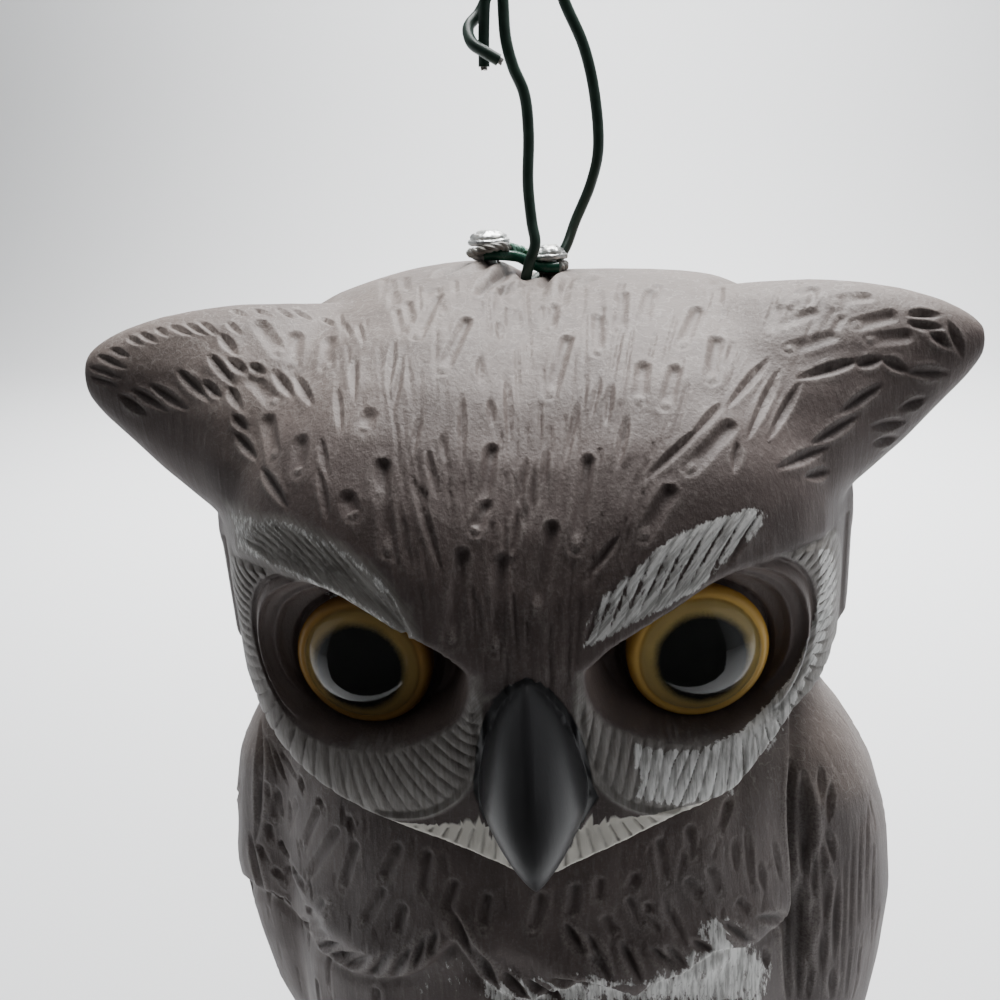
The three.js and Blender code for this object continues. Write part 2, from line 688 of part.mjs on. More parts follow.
// One turn of the bare core round a screw's neck, from the end of the green coat
function coreTurn(screw, end, rise, grow) {
  const [, across, back] = screw;
  const reach = SHANK_DIAMETER / 2 + CORE_DIAMETER / 2 + GAP;
  const steps = 12;
  const start = Math.atan2(end[1] - back, end[0] - across);
  const direction = across < 0 ? -1 : 1;
  const points = [end];
  for (let i = 1; i <= steps; i += 1) {
    const angle = start + (direction * turn * 0.86 * i) / steps;
    points.push([across + reach * Math.cos(angle), back + reach * Math.sin(angle), end[2] + (rise * i) / steps]);
  }
  return tube(points, CORE_DIAMETER + grow * 2, 6, steps);
}

function linkPieces(grow) {
  return [
    tube(LINK_ROUTE, WIRE_DIAMETER + grow * 2, 7, 10),
    coreTurn(SCREWS[0], LINK_ROUTE[0], -0.5, grow),
    coreTurn(SCREWS[1], LINK_ROUTE[LINK_ROUTE.length - 1], -0.2, grow),
  ];
}

// The pinched hollow in the crown that the hanger's loop passes down into
function crownHollow() {
  const hollow = new THREE.SphereGeometry(CROWN_HOLLOW / 2, 14, 10);
  return hollow.scale(1, 1.9, 1.5).translate(1.8, 0.6, 0.2);
}

// The moulding: everything that is one piece of plastic, less what the eyes, screws and wires need
function shellGeometry() {
  const inHead = (geometry) => solid(geometry.applyMatrix4(headFrame));
  const sides = [-1, 1];
  const toes = sides.flatMap((sign) => [-1, 0, 1].map((toe) => solid(toeSolid(sign, toe * TOE_SPREAD))));
  const joined = join([
    inHead(headSolid()),
    ...sides.map((sign) => inHead(earSolid(sign))),
    inHead(beakSolid()),
    solid(trunkSolid()),
    ...sides.map((sign) => solid(wingSolid(sign))),
    solid(tailSolid()),
    ...sides.map((sign) => solid(legSolid(sign))),
    ...toes,
    solid(baseSolid()),
  ]);
  const cuts = join([
    inHead(crownHollow()),
    inHead(hangerGeometry(GAP)),
    ...linkPieces(GAP).map(inHead),
    ...SCREWS.map(([, across, back]) => inHead(screwHole([across, back]))),
    ...sides.map((sign) => inHead(eyeGeometry(GAP).applyMatrix4(eyeFrame(sign)))),
  ]);
  return geometryOf(joined.subtract(cuts));
}

// Materials
const plastic = new THREE.MeshStandardMaterial({ color: 0x6b5f5b, roughness: 0.62, metalness: 0 });
const amber = new THREE.MeshStandardMaterial({ color: 0x96691a, roughness: 0.12, metalness: 0 });
const zinc = new THREE.MeshStandardMaterial({ color: 0xc4c6c4, roughness: 0.32, metalness: 1 });
const greenCoat = new THREE.MeshStandardMaterial({ color: 0x1e3d2f, roughness: 0.4, metalness: 0 });

function named(name, geometry, material) {
  const mesh = new THREE.Mesh(geometry, material);
  mesh.name = name;
  return mesh;
}

const owl = new THREE.Group();
owl.add(named('owl_shell', shellGeometry(), plastic));

const head = new THREE.Group();
head.applyMatrix4(headFrame);
owl.add(head);

[['left_eye', -1], ['right_eye', 1]].forEach(([name, sign]) => {
  const eye = named(name, eyeGeometry(0), amber);
  eye.applyMatrix4(eyeFrame(sign));
  head.add(eye);
});

SCREWS.forEach(([name, across, back, seat]) => {
  const screw = named(name, screwGeometry(seat), zinc);
  screw.position.set(across, back, 0);
  head.add(screw);
});

head.add(named('link_wire', geometryOf(join(linkPieces(0).map(solid))), greenCoat));
head.add(named('hanger_loop', hangerGeometry(0), greenCoat));

export default owl;
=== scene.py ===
# %% [markdown]
# # An owl decoy for the garden
# The real thing is one hollow shell of brown plastic, blown in two halves of a mould, with grooves
# cut in the mould for feathers. Two glossy amber eyes are pressed into its sockets, and it hangs by
# a loop of green garden wire, hooked under a short link between two screws in the crown.
# The CAD model gives the shell, the eyes, the screws and the wires in plain faces. Here each of them
# gets its surface. The CAD model is loaded first, because every piece has to sit where it says.

import math
import random
from contextlib import contextmanager

import bpy
import numpy as np
from mathutils import Matrix, Vector
from mathutils.bvhtree import BVHTree


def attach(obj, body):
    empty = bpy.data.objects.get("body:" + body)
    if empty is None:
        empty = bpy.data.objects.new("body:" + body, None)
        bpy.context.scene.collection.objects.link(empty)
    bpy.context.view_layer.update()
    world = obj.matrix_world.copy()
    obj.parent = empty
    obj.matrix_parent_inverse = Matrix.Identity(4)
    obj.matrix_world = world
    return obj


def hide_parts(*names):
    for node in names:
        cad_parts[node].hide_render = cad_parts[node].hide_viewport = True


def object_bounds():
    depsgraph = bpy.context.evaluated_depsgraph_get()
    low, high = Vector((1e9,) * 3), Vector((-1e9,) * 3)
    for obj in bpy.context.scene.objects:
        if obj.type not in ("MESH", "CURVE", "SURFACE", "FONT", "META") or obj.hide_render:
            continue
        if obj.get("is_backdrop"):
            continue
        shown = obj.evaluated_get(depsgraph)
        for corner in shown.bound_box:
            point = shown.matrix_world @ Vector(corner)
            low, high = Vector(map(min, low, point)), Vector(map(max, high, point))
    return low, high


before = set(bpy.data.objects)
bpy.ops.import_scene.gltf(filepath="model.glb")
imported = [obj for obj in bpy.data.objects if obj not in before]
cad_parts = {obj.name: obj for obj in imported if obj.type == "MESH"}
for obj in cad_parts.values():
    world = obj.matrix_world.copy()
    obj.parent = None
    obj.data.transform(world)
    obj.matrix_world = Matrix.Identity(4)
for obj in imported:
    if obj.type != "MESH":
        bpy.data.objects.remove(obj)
cad_low, cad_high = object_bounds()
MM = 0.001
print("CAD box in mm:", [round(x / MM, 1) for x in cad_high - cad_low])

# %% [markdown]
# The head sits turned on the body, so its features are easier to place in a frame of its own: across
# to the right, reach towards the front, and drop down from the crown. All three are in millimetres.

# %% The head's own frame
CROWN_HEIGHT = 430
HEAD_TURN = math.radians(8)
HEAD_FRAME = Matrix.Translation((0, 0, CROWN_HEIGHT * MM)) @ Matrix.Rotation(HEAD_TURN, 4, "Z")


def head_places(points):
    """Across, reach and drop in millimetres of points given in the frame, in metres."""
    inverse = np.array(HEAD_FRAME.inverted())
    local = (points @ inverse[:3, :3].T + inverse[:3, 3]) / MM
    return local[:, 0], -local[:, 1], -local[:, 2]


def head_point(across, reach, drop):
    return HEAD_FRAME @ Vector((across * MM, -reach * MM, -drop * MM))


print("crown at", [round(x, 3) for x in head_point(0, 0, 0)])

# %% [markdown]
# The camera stands where the photograph was taken: close in front of the face, above the eyes and to
# the right, looking down. So near an object the distance sets the shape of the picture as much as the
# lens does.

# %% Camera
CAMERA_PLACE = Vector((0.0526, -0.2853, 0.4637))
CAMERA_PAN = math.radians(12.6)
CAMERA_TILT = math.radians(19.4)
CAMERA_ROLL = math.radians(-3.7)
LENS = 34.92
SENSOR = 36
PICTURE = 1000

aim = Matrix.Rotation(CAMERA_PAN, 3, "Z") @ Matrix.Rotation(math.pi / 2 - CAMERA_TILT, 3, "X")
aim = aim @ Matrix.Rotation(CAMERA_ROLL, 3, "Z")
bpy.ops.object.camera_add(location=CAMERA_PLACE, rotation=aim.to_euler())
camera = bpy.context.object
camera.data.lens = LENS
camera.data.sensor_width = SENSOR
camera.data.clip_start = 0.01
bpy.context.scene.camera = camera
print("camera looks along", [round(x, 3) for x in aim @ Vector((0, 0, -1))])

# %% [markdown]
# The owl stands on a pale sheet that sweeps up into the wall behind it, as in a photographer's tent.
# One plane is enough for that: its back edge is extruded upwards, and the corner is bevelled round.

# %% Floor and wall
FLOOR_SIZE = 5.0
WALL_HEIGHT = 3.0
SWEEP = 1.1
SHEET_WHITE = (0.8, 0.81, 0.82, 1)


def alone(piece):
    """Selects this object and nothing else."""
    bpy.ops.object.select_all(action="DESELECT")
    piece.select_set(True)
    bpy.context.view_layer.objects.active = piece


@contextmanager
def editing(piece):
    """Edit mode with every part of the piece selected."""
    alone(piece)
    bpy.ops.object.mode_set(mode="EDIT")
    bpy.ops.mesh.select_all(action="SELECT")
    yield
    bpy.ops.object.mode_set(mode="OBJECT")


def select_edges(piece, chosen):
    """Selects the edges for which chosen(middle of the edge) is true, and opens edit mode."""
    alone(piece)
    bpy.ops.object.mode_set(mode="EDIT")
    bpy.ops.mesh.select_all(action="DESELECT")
    bpy.ops.mesh.select_mode(type="EDGE")
    bpy.ops.object.mode_set(mode="OBJECT")
    corners = piece.data.vertices
    for edge in piece.data.edges:
        middle = (corners[edge.vertices[0]].co + corners[edge.vertices[1]].co) / 2
        edge.select = chosen(middle)
    bpy.ops.object.mode_set(mode="EDIT")


def new_finish(name):
    """A material with its tree and the inputs of its shader."""
    material = bpy.data.materials.new(name)
    material.use_nodes = True
    return material, material.node_tree, material.node_tree.nodes["Principled BSDF"].inputs


def plain_finish(name, colour, roughness, gloss=0.5):
    material, _, shader = new_finish(name)
    shader["Base Color"].default_value = colour
    shader["Roughness"].default_value = roughness
    shader["Specular IOR Level"].default_value = gloss
    return material


bpy.ops.mesh.primitive_plane_add(size=FLOOR_SIZE, location=(0, FLOOR_SIZE * 0.1, 0))
floor = bpy.context.object
floor.name = "floor_sheet"
back_edge = FLOOR_SIZE / 2
select_edges(floor, lambda middle: middle.y > back_edge - 0.01)
bpy.ops.mesh.extrude_region_move(TRANSFORM_OT_translate={"value": (0, 0, WALL_HEIGHT)})
bpy.ops.object.mode_set(mode="OBJECT")
select_edges(floor, lambda middle: middle.y > back_edge - 0.01 and middle.z < 0.01)
bpy.ops.mesh.bevel(offset=SWEEP, segments=24, affect="EDGES")
bpy.ops.object.mode_set(mode="OBJECT")
bpy.ops.object.shade_smooth()
floor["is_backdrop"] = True

floor.data.materials.append(plain_finish("pale_sheet", SHEET_WHITE, 0.9, 0.1))
print("floor faces:", len(floor.data.polygons))

# %% [markdown]
# The light comes from a wide lamp high above, a little behind the head and to the right, so the crown
# and the upper walls of the marks are bright and the face is in half shade. The glossy eyes and the
# beak mirror a room that is pale at the sides and behind, and dark in front. Two dark cards and a
# world whose strength follows its direction give the same.

# %% Lights
LAMPS = [  # name, place, where it is aimed, width, watts
    ("lamp_above", (0.14, 0.46, 1.5), (0, 0, 0.38), 0.9, 52),
    ("lamp_for_the_wall", (-0.2, 1.25, 1.5), (-0.3, 2.3, 0.5), 1.6, 100),
]
ROOM_LIGHT = 0.43
FRONT_LIGHT = 0.17
FLAG_PLACE = (0.0, -0.42, 0.62)
FLAG_SIZE = (1.15, 1.24)
FLOOR_CARD_PLACE = (0.0, -0.44, 0.002)
FLOOR_CARD_SIZE = (1.15, 0.32)
CARD_BLACK = (0.012, 0.011, 0.011, 1)


def area_lamp(name, place, target, size, watts):
    bpy.ops.object.light_add(type="AREA", location=place)
    lamp = bpy.context.object
    lamp.name = name
    lamp.data.size = size
    lamp.data.energy = watts
    lamp.rotation_euler = (Vector(target) - Vector(place)).to_track_quat("-Z", "Y").to_euler()


for lamp_row in LAMPS:
    area_lamp(*lamp_row)

card_finish = plain_finish("dark_card", CARD_BLACK, 1.0)


def dark_card(name, place, size, lean, corners=4):
    """A dark card that the camera doesn't see itself, but the glossy eyes do."""
    if corners == 4:
        bpy.ops.mesh.primitive_plane_add(size=1, location=place, rotation=(lean, 0, 0))
    else:
        bpy.ops.mesh.primitive_circle_add(vertices=corners, radius=0.5, fill_type="NGON", location=place)
    card = bpy.context.object
    card.name = name
    card.scale = (*size, 1)
    card.visible_camera = False
    card.visible_shadow = False
    card.data.materials.append(card_finish)
    card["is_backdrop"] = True
    return card


dark_card("dark_card", FLAG_PLACE, FLAG_SIZE, math.pi / 2)
floor_card = dark_card("dark_floor_card", FLOOR_CARD_PLACE, FLOOR_CARD_SIZE, 0, 48)
floor_card.visible_diffuse = False
floor_card.visible_transmission = False

world = bpy.data.worlds.new("soft_room")
bpy.context.scene.world = world
world.use_nodes = True
room = world.node_tree
direction = room.nodes.new("ShaderNodeTexCoord").outputs["Generated"]
parts = room.nodes.new("ShaderNodeSeparateXYZ")
room.links.new(direction, parts.inputs[0])
strength = room.nodes.new("ShaderNodeMapRange")
strength.interpolation_type = "SMOOTHSTEP"
for title, value in (("From Min", -0.7), ("From Max", -0.2), ("To Min", FRONT_LIGHT), ("To Max", ROOM_LIGHT)):
    strength.inputs[title].default_value = value
room.links.new(parts.outputs["Y"], strength.inputs["Value"])
backdrop = room.nodes["Background"]
backdrop.inputs["Color"].default_value = (0.97, 0.98, 1.0, 1)
room.links.new(strength.outputs["Result"], backdrop.inputs["Strength"])

# %% [markdown]
# The shell is one smooth skin with an ear at either side, a mask that stands out over the breast,
# wings, tail, toes and base. The CAD solid has all of these in flat faces, so the skin is made from a
# copy of it: a voxel remesh gives it even, small faces all over, and smoothing takes the flats away.
# Smoothing would also melt the crisp parts, so a vertex group says where it works fully and where
# hardly at all.

# %% Copy the shell and remesh it
SKIN_GRAIN = 0.85 * MM


def values_of(items, name, kind=np.float32, width=3):
    """One value or one row of values for each of a mesh's points, faces or corners."""
    flat = np.empty(len(items) * width, kind)
    items.foreach_get(name, flat)
    return flat.reshape(-1, width) if width > 1 else flat


def points_of(piece):
    return values_of(piece.data.vertices, "co").astype(float)


def normals_of(piece):
    return values_of(piece.data.vertex_normals, "vector").astype(float)


def put_points(piece, points):
    piece.data.vertices.foreach_set("co", points.astype(np.float32).ravel())
    piece.data.update()


def apply_modifier(piece, kind, **settings):
    alone(piece)
    modifier = piece.modifiers.new(kind.lower(), kind)
    for name, value in settings.items():
        setattr(modifier, name, value)
    bpy.ops.object.modifier_apply(modifier=modifier.name)


def copy_of_node(node, name):
    """A piece with its own mesh, welded from the loose triangles of a CAD node."""
    piece = bpy.data.objects.new(name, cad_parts[node].data.copy())
    bpy.context.scene.collection.objects.link(piece)
    piece.data.materials.clear()
    with editing(piece):
        bpy.ops.mesh.remove_doubles(threshold=0.01 * MM)
    return piece


shell = copy_of_node("owl_shell", "owl_shell_skin")
print("shell faces:", len(shell.data.polygons))

# %% [markdown]
# The CAD sockets are coarse, and their walls would fold when the face is given its finer shape. So
# they are filled first: a plug as deep as the sockets, whose front is the mask's own curve, is joined
# to the shell, and the voxel remesh melts both into one skin. The sockets are sunk again later.

# %% Curves of the mask


def ramp(value, low, high):
    """0 below low, 1 above high, and a smooth rise between them."""
    share = np.clip((value - low) / (high - low), 0, 1)
    return share * share * (3 - 2 * share)


def read_table(table, place):
    """Values of a table of [place, value, ...] rows at many places, on a smooth curve."""
    rows = np.array(table, float)
    x, values = rows[:, 0], rows[:, 1:]
    place = np.clip(place, x[0], x[-1])
    i = np.clip(np.searchsorted(x, place, side="right") - 1, 0, len(x) - 2)
    after = np.minimum(np.arange(len(x)) + 1, len(x) - 1)
    before = np.maximum(np.arange(len(x)) - 1, 0)
    slopes = (values[after] - values[before]) / (x[after] - x[before])[:, None]
    step = (x[i + 1] - x[i])[:, None]
    t = ((place - x[i]) / (x[i + 1] - x[i]))[:, None]
    rise = (3 * t**2 - 2 * t**3) * (values[i + 1] - values[i])
    leave = (t**3 - 2 * t**2 + t) * step * slopes[i]
    arrive = (t**3 - t**2) * step * slopes[i + 1]
    return (values[i] + rise + leave + arrive).T


MASK_HALF_WIDTH = 89.5
MASK_HEIGHT = 139
FACE_REACH = 92
CHIN_EDGE = [  # across as a share of the half width, drop as a share of the height
    [-0.92, 0.66], [-0.8, 0.735], [-0.7, 0.782], [-0.62, 0.808], [-0.52, 0.841], [-0.36, 0.881],
    [-0.24, 0.913], [-0.13, 0.951], [0.0, 0.99], [0.13, 0.951], [0.24, 0.915], [0.36, 0.872],
    [0.45, 0.85], [0.54, 0.828], [0.61, 0.78], [0.67, 0.742], [0.72, 0.712], [0.8, 0.69], [0.92, 0.65],
]
BROW_LIP = [  # across and drop as above, the same on both sides
    [0.0, 0.55], [0.15, 0.545], [0.22, 0.514], [0.36, 0.464], [0.5, 0.41], [0.67, 0.391], [0.8, 0.396],
    [0.92, 0.41],
]


def mask_reach(across, drop):
    """The mask without its discs: a rounded sheet that swells between the brows."""
    sheet = FACE_REACH * np.sqrt(np.clip(1 - np.abs(across / MASK_HALF_WIDTH) ** 4, 0.02, 1))
    bridge = (1 - ramp(np.abs(across), 11, 23)) * (1 - ramp(drop, 73, 106))
    return sheet + 4 * bridge


def chin_at(across):
    return read_table(CHIN_EDGE, across / MASK_HALF_WIDTH)[0] * MASK_HEIGHT


def lip_at(across):
    return read_table(BROW_LIP, np.abs(across) / MASK_HALF_WIDTH)[0] * MASK_HEIGHT


print("lip and chin in the middle:", lip_at(np.zeros(1)), chin_at(np.zeros(1)))

# %% Fill the sockets and remesh
PLUG_ACROSS = (9, 80)
PLUG_BACK = 52
PLUG_COLUMNS = 36
PLUG_ROWS = 30


def socket_plug(side):
    """A thick sheet from the brow's lip down to the chin, with its front just under the mask."""
    bpy.ops.mesh.primitive_grid_add(x_subdivisions=PLUG_COLUMNS, y_subdivisions=PLUG_ROWS, size=1)
    plug = bpy.context.object
    with editing(plug):
        bpy.ops.mesh.extrude_region_move(TRANSFORM_OT_translate={"value": (0, 0, 1)})
    grid = points_of(plug)
    x = side * (PLUG_ACROSS[0] + (grid[:, 0] + 0.5) * (PLUG_ACROSS[1] - PLUG_ACROSS[0]))
    top, foot = lip_at(x) + 0.6, chin_at(x) - 3
    z = top + (grid[:, 1] + 0.5) * (foot - top)
    y = np.where(grid[:, 2] > 0.5, mask_reach(x, z) - 0.8, PLUG_BACK)
    put_points(plug, np.array([head_point(*place) for place in zip(x, y, z)]))
    with editing(plug):
        bpy.ops.mesh.normals_make_consistent(inside=False)
    return plug


plugs = [socket_plug(side) for side in (-1, 1)]
alone(shell)
for plug in plugs:
    plug.select_set(True)
bpy.ops.object.join()
apply_modifier(shell, "REMESH", mode="VOXEL", voxel_size=SKIN_GRAIN, use_smooth_shade=True)
print("skin points:", len(shell.data.vertices))

# %% Smooth the skin by a vertex group
SMOOTHING_ROUNDS = 120


def weight_group(piece, name, weights, levels=20):
    """A vertex group with these weights, rounded to a few levels so that it is quick to fill."""
    group = piece.vertex_groups.new(name=name)
    rounded = np.round(weights * levels).astype(int)
    for level in np.unique(rounded):
        if level > 0:
            chosen = np.flatnonzero(rounded == level)
            group.add(chosen.tolist(), level / levels, "REPLACE")


points = points_of(shell)
across, reach, drop = head_places(points)
chin_drop, lip_drop = chin_at(across), lip_at(across)
in_front = ramp(reach, 15, 30)
below_lip = ramp(drop, lip_drop - 9, lip_drop - 2)
above_neck = 1 - ramp(drop, chin_drop + 4, chin_drop + 12)
face_share = in_front * below_lip * above_neck
hollow_share = 1 - ramp(np.hypot(np.hypot(across - 1.8, reach), drop), 8, 16)
tip_share = ramp(np.abs(across), 84, 112) * (1 - ramp(drop, 60, 80))
height = points[:, 2] / MM
foot_share = 1 - ramp(height, 22, 38)
crispness = np.maximum.reduce([0.9 * face_share, 0.85 * hollow_share, 0.6 * tip_share, 0.85 * foot_share])
weight_group(shell, "smooth_here", 1 - crispness)
apply_modifier(shell, "SMOOTH", factor=0.5, iterations=SMOOTHING_ROUNDS, vertex_group="smooth_here")
shell.vertex_groups.clear()
print("smoothed by up to", round(float(np.abs(points_of(shell) - points).max() / MM), 1), "mm")

# %% [markdown]
# Below the brows the face is a mask with two fluted discs, each round the socket of an eye. A smoothed
# copy of flat faces isn't crisp enough for that, so every point of the skin that looks forwards here
# is set to a reach that is worked out from its place. The shapes are given as distances from the
# middle of an eye at angles round it: 0 is outwards, 90 is up, and the same for both eyes.

# %% Shapes round an eye
EYE_ACROSS = 40.75
EYE_DROP = 82
EYE_RADIUS = 17.8
SEAT_REACH = 76.3
SEAT_SLANT = 0.32
SOCKET_RIM = [
    [-180, 27.5], [-155, 25], [-140, 22], [-120, 19.3], [-90, 18.3], [-65, 20.5], [-35, 25.5],
    [-20, 27.3], [0, 29.5], [20, 31.2], [40, 32.3], [55, 31.8], [90, 30], [135, 30], [180, 27.5],
]
DISC_EDGE = [
    [-180, 28], [-160, 31], [-147, 33.8], [-135, 36], [-124, 37.6], [-112, 38], [-98, 36.8], [-80, 36],
    [-66, 36], [-50, 35], [-35, 37], [-20, 39], [0, 40], [20, 41], [40, 42], [55, 41], [90, 36],
    [160, 27], [180, 28],
]
FLUTE_DEPTH = 0.7
CHIN_FLUTE_DEPTH = 0.8
EYE_GAP_DEPTH = 2.4
DISC_SWELL = 1.5
DISC_SINK = 0.7
RIM_RIDGE = 0.7


def hump(value, middle, width):
    return np.exp(-(((value - middle) / width) ** 2))


def round_the_eye(across, drop):
    """Distance in millimetres and angle in degrees of a place on the face, round its nearer eye."""
    outwards = np.abs(across) - EYE_ACROSS
    upwards = EYE_DROP - drop
    return np.hypot(outwards, upwards), np.degrees(np.arctan2(upwards, outwards))


def flutes(count):
    """Narrow grooves between rounded lands, one at each whole count: 1 in a groove, 0 on a land."""
    return (1 - np.abs(np.sin(math.pi * count))) ** 3.4


FAN_ACROSS = 49.6
FAN_DROP = 75.4
FLUTE_COUNT = [  # degrees below outwards, flutes counted up to there
    [-90, -20], [-30, -11], [42, 0], [50, 1], [57, 2], [68.6, 3.2], [76.3, 4.3], [83.2, 5.4],
    [92.1, 6.6], [108.2, 9.8], [114.3, 11.1], [170, 24],
]
UPRIGHT_FLUTE_PITCH = 2.7
CHIN_FAN_ACROSS = 7
CHIN_FAN_DROP = 97
CHIN_FLUTE_DEGREES = 6.1
CHIN_BAND_TOP = [[-50, 119.5], [-34, 120.6], [0, 122], [12, 121.8], [28, 118.6], [45, 116.2]]


def disc_count(across, drop):
    """The flutes of a disc fan out from a place a little outside the eye."""
    degrees = np.degrees(np.arctan2(drop - FAN_DROP, np.abs(across) - FAN_ACROSS))
    fanned = read_table(FLUTE_COUNT, degrees)[0]
    upright = 11.1 + (36 - across - 0.2 * (drop - 105)) / UPRIGHT_FLUTE_PITCH
    near_beak = ramp(36 - across, 0, 5) * (across > 0)
    return fanned + (upright - fanned) * near_beak


def chin_count(across, drop):
    """The flutes on the chin fan out from two places behind the beak."""
    outwards = np.abs(across) - CHIN_FAN_ACROSS
    return np.degrees(np.arctan2(outwards, drop - CHIN_FAN_DROP)) / CHIN_FLUTE_DEGREES


def chin_band(across, drop):
    """1 on the fluted band along the edge of the chin, 0 elsewhere."""
    top = read_table(CHIN_BAND_TOP, across)[0]
    inside = ramp(drop, top, top + 1.2) * (1 - ramp(drop, chin_at(across) - 1.6, chin_at(across) - 0.6))
    return inside * (1 - ramp(np.abs(across), 42, 50))


def face_reach(across, drop):
    """How far forward the face stands, with its sockets, discs and flutes."""
    distance, degrees = round_the_eye(across, drop)
    rim = read_table(SOCKET_RIM, degrees)[0]
    edge = np.maximum(read_table(DISC_EDGE, degrees)[0], rim + 0.5)
    mask = mask_reach(across, drop)
    share = np.clip((distance - rim) / (edge - rim), 0, 1)
    width = edge - rim
    band = ramp(width, 1, 5)
    on_disc = ramp(distance, rim - 0.6, rim + 0.3) * (1 - ramp(distance, edge - 0.5, edge + 0.2)) * band
    swell = DISC_SWELL * 4 * share * (1 - share) - DISC_SINK * (1 - share)
    outer_side = ramp(np.cos(np.radians(degrees - 50)), -0.25, 0.35)
    flute_depth = FLUTE_DEPTH * (1 + 0.9 * outer_side * (across < 0))
    cut = flute_depth * flutes(disc_count(across, drop))
    cut = cut * ramp(share, 0.0, 0.15) * (1 - ramp(share, 0.86, 1.0))
    ridge = RIM_RIDGE * hump(distance, edge + 0.6, 0.9) - 0.3 * hump(distance, edge - 1.0, 0.8)
    chin_cut = CHIN_FLUTE_DEPTH * flutes(chin_count(across, drop)) * chin_band(across, drop)
    outside = mask + ridge * band + on_disc * (swell - cut) - chin_cut

    seat = SEAT_REACH - SEAT_SLANT * np.maximum(np.abs(across) - EYE_ACROSS - EYE_RADIUS + 8, 0)
    inwards = distance / rim
    start = 0.6 * outer_side + 0.84 * (1 - outer_side)
    wall = ramp(inwards, np.maximum(start, 18.2 / rim - 0.02), 1.0)
    crests = 2.1 * hump(inwards, 0.9, 0.028) + 1.6 * hump(inwards, 0.76, 0.03)
    crests = crests - 1.6 * hump(inwards, 0.965, 0.025)
    gap = EYE_GAP_DEPTH * hump(distance, EYE_RADIUS + 0.7, 0.75)
    inside = seat + (mask - DISC_SINK * band - seat) * wall + crests * outer_side - gap
    return np.where(distance < rim, np.minimum(inside, mask + 1), outside)


samples = np.array([(EYE_ACROSS, EYE_DROP), (0, 75), (45, 112)])
print("face reach at an eye, at the bridge and on a disc:", face_reach(*samples.T).round(1))

# %% Finer skin in front
FRONT_REACH = 12


def select_faces(piece, chosen):
    """Selects the faces that a true-or-false array names, and opens edit mode."""
    alone(piece)
    bpy.ops.object.mode_set(mode="EDIT")
    bpy.ops.mesh.select_mode(type="FACE")
    bpy.ops.mesh.select_all(action="DESELECT")
    bpy.ops.object.mode_set(mode="OBJECT")
    piece.data.polygons.foreach_set("select", chosen)
    bpy.ops.object.mode_set(mode="EDIT")


facing = values_of(shell.data.polygons, "normal").astype(float)
across, reach, drop = head_places(values_of(shell.data.polygons, "center").astype(float))
towards = facing @ np.array(aim)[:, 2]
fine = (drop < chin_at(across) + 3) * (reach > FRONT_REACH) * (facing[:, 1] < 0.25)
fine |= (drop < 60) * (np.abs(across) > 60) * (towards > 0)
select_faces(shell, fine)
bpy.ops.mesh.subdivide(number_cuts=1)
bpy.ops.object.mode_set(mode="OBJECT")
print("fine faces:", int(fine.sum()), "skin points now:", len(shell.data.vertices))

# %% Move the face to its shape
points = points_of(shell)
normals = normals_of(shell)
across, reach, drop = head_places(points)
to_head = np.array(HEAD_FRAME.inverted())[:3, :3]
forward = -(normals @ to_head.T)[:, 1]
chin_drop, lip_drop = chin_at(across), lip_at(across)
BEAK_OUTLINE = [  # drop, half width, stand of the ridge over the face
    [78.5, 0.0, 1.5], [80, 3.6, 4.2], [84, 7.0, 7.5], [92, 10.6, 11.6], [100, 12.6, 14.3],
    [108, 13.7, 16.2], [114, 13.6, 16.8], [120, 11.4, 16.6], [125, 8.6, 15.4], [129, 5.6, 13.4],
    [132, 2.6, 10.8], [133.4, 0.4, 8.6],
]
beak_half, beak_stand = read_table(BEAK_OUTLINE, drop)
on_beak = np.where((drop > 78.5) & (drop < 134), beak_half - np.abs(across), -20)

inner = ramp(drop, lip_drop + 0.8, lip_drop + 2.6) * (1 - ramp(drop, chin_drop - 1.6, chin_drop - 0.5))
sides = 1 - ramp(np.abs(across), 81.5, 84.5)
target = face_reach(across, drop)
tent = np.sqrt(np.clip(1 - (across / np.maximum(beak_half, 0.1)) ** 2, 0, 1))
crest = 0.9 * hump(across, 0, 2.2) * (1 - ramp(drop, 96, 118))
beak_reach = FACE_REACH - 8 + (8 + beak_stand) * tent**0.92 + crest
is_beak = (on_beak > 0) & ((drop < 124) | (reach > target + 3))
target = np.where(is_beak, np.maximum(target, beak_reach), target)
near_beak = ramp(on_beak, -3, -1)
steepest = 0.1 * (1 - near_beak) + 0.02 * near_beak
freedom = inner * sides * ramp(forward, steepest, steepest + 0.15) * (reach > 35)
new_reach = reach + (target - reach) * freedom
moved = new_reach - reach
points -= moved[:, None] * MM * np.array(HEAD_FRAME)[:3, 1][None, :]
put_points(shell, points)
print("face points moved:", int((np.abs(moved) > 0.05).sum()), "by up to", np.abs(moved).max().round(1), "mm")

# %% [markdown]
# The mould is cut all over with small marks that stand for feathers: round-ended dents, deepest at
# their upper end, on the forehead and breast, narrow leaf-shaped cuts on the ears, and fine streaks
# between them. Each was cut by hand and no two are alike, so those that the photograph shows are
# placed one by one. Each is given by where its upper and lower end are seen in the picture, in
# thousandths of its width, and a ray from the camera finds the place on the skin. The mark itself is
# a groove along that line, pressed into the skin along its normals.

# %% Find places on the skin
skin_tree = BVHTree.FromObject(shell, bpy.context.evaluated_depsgraph_get())
FOCUS = LENS / SENSOR * PICTURE


def seen_at(px, py):
    """The place on the skin that is seen at this place in the picture, or None."""
    ray = aim @ Vector(((px - PICTURE / 2) / FOCUS, (PICTURE / 2 - py) / FOCUS, -1))
    return skin_tree.ray_cast(CAMERA_PLACE, ray.normalized())[0]


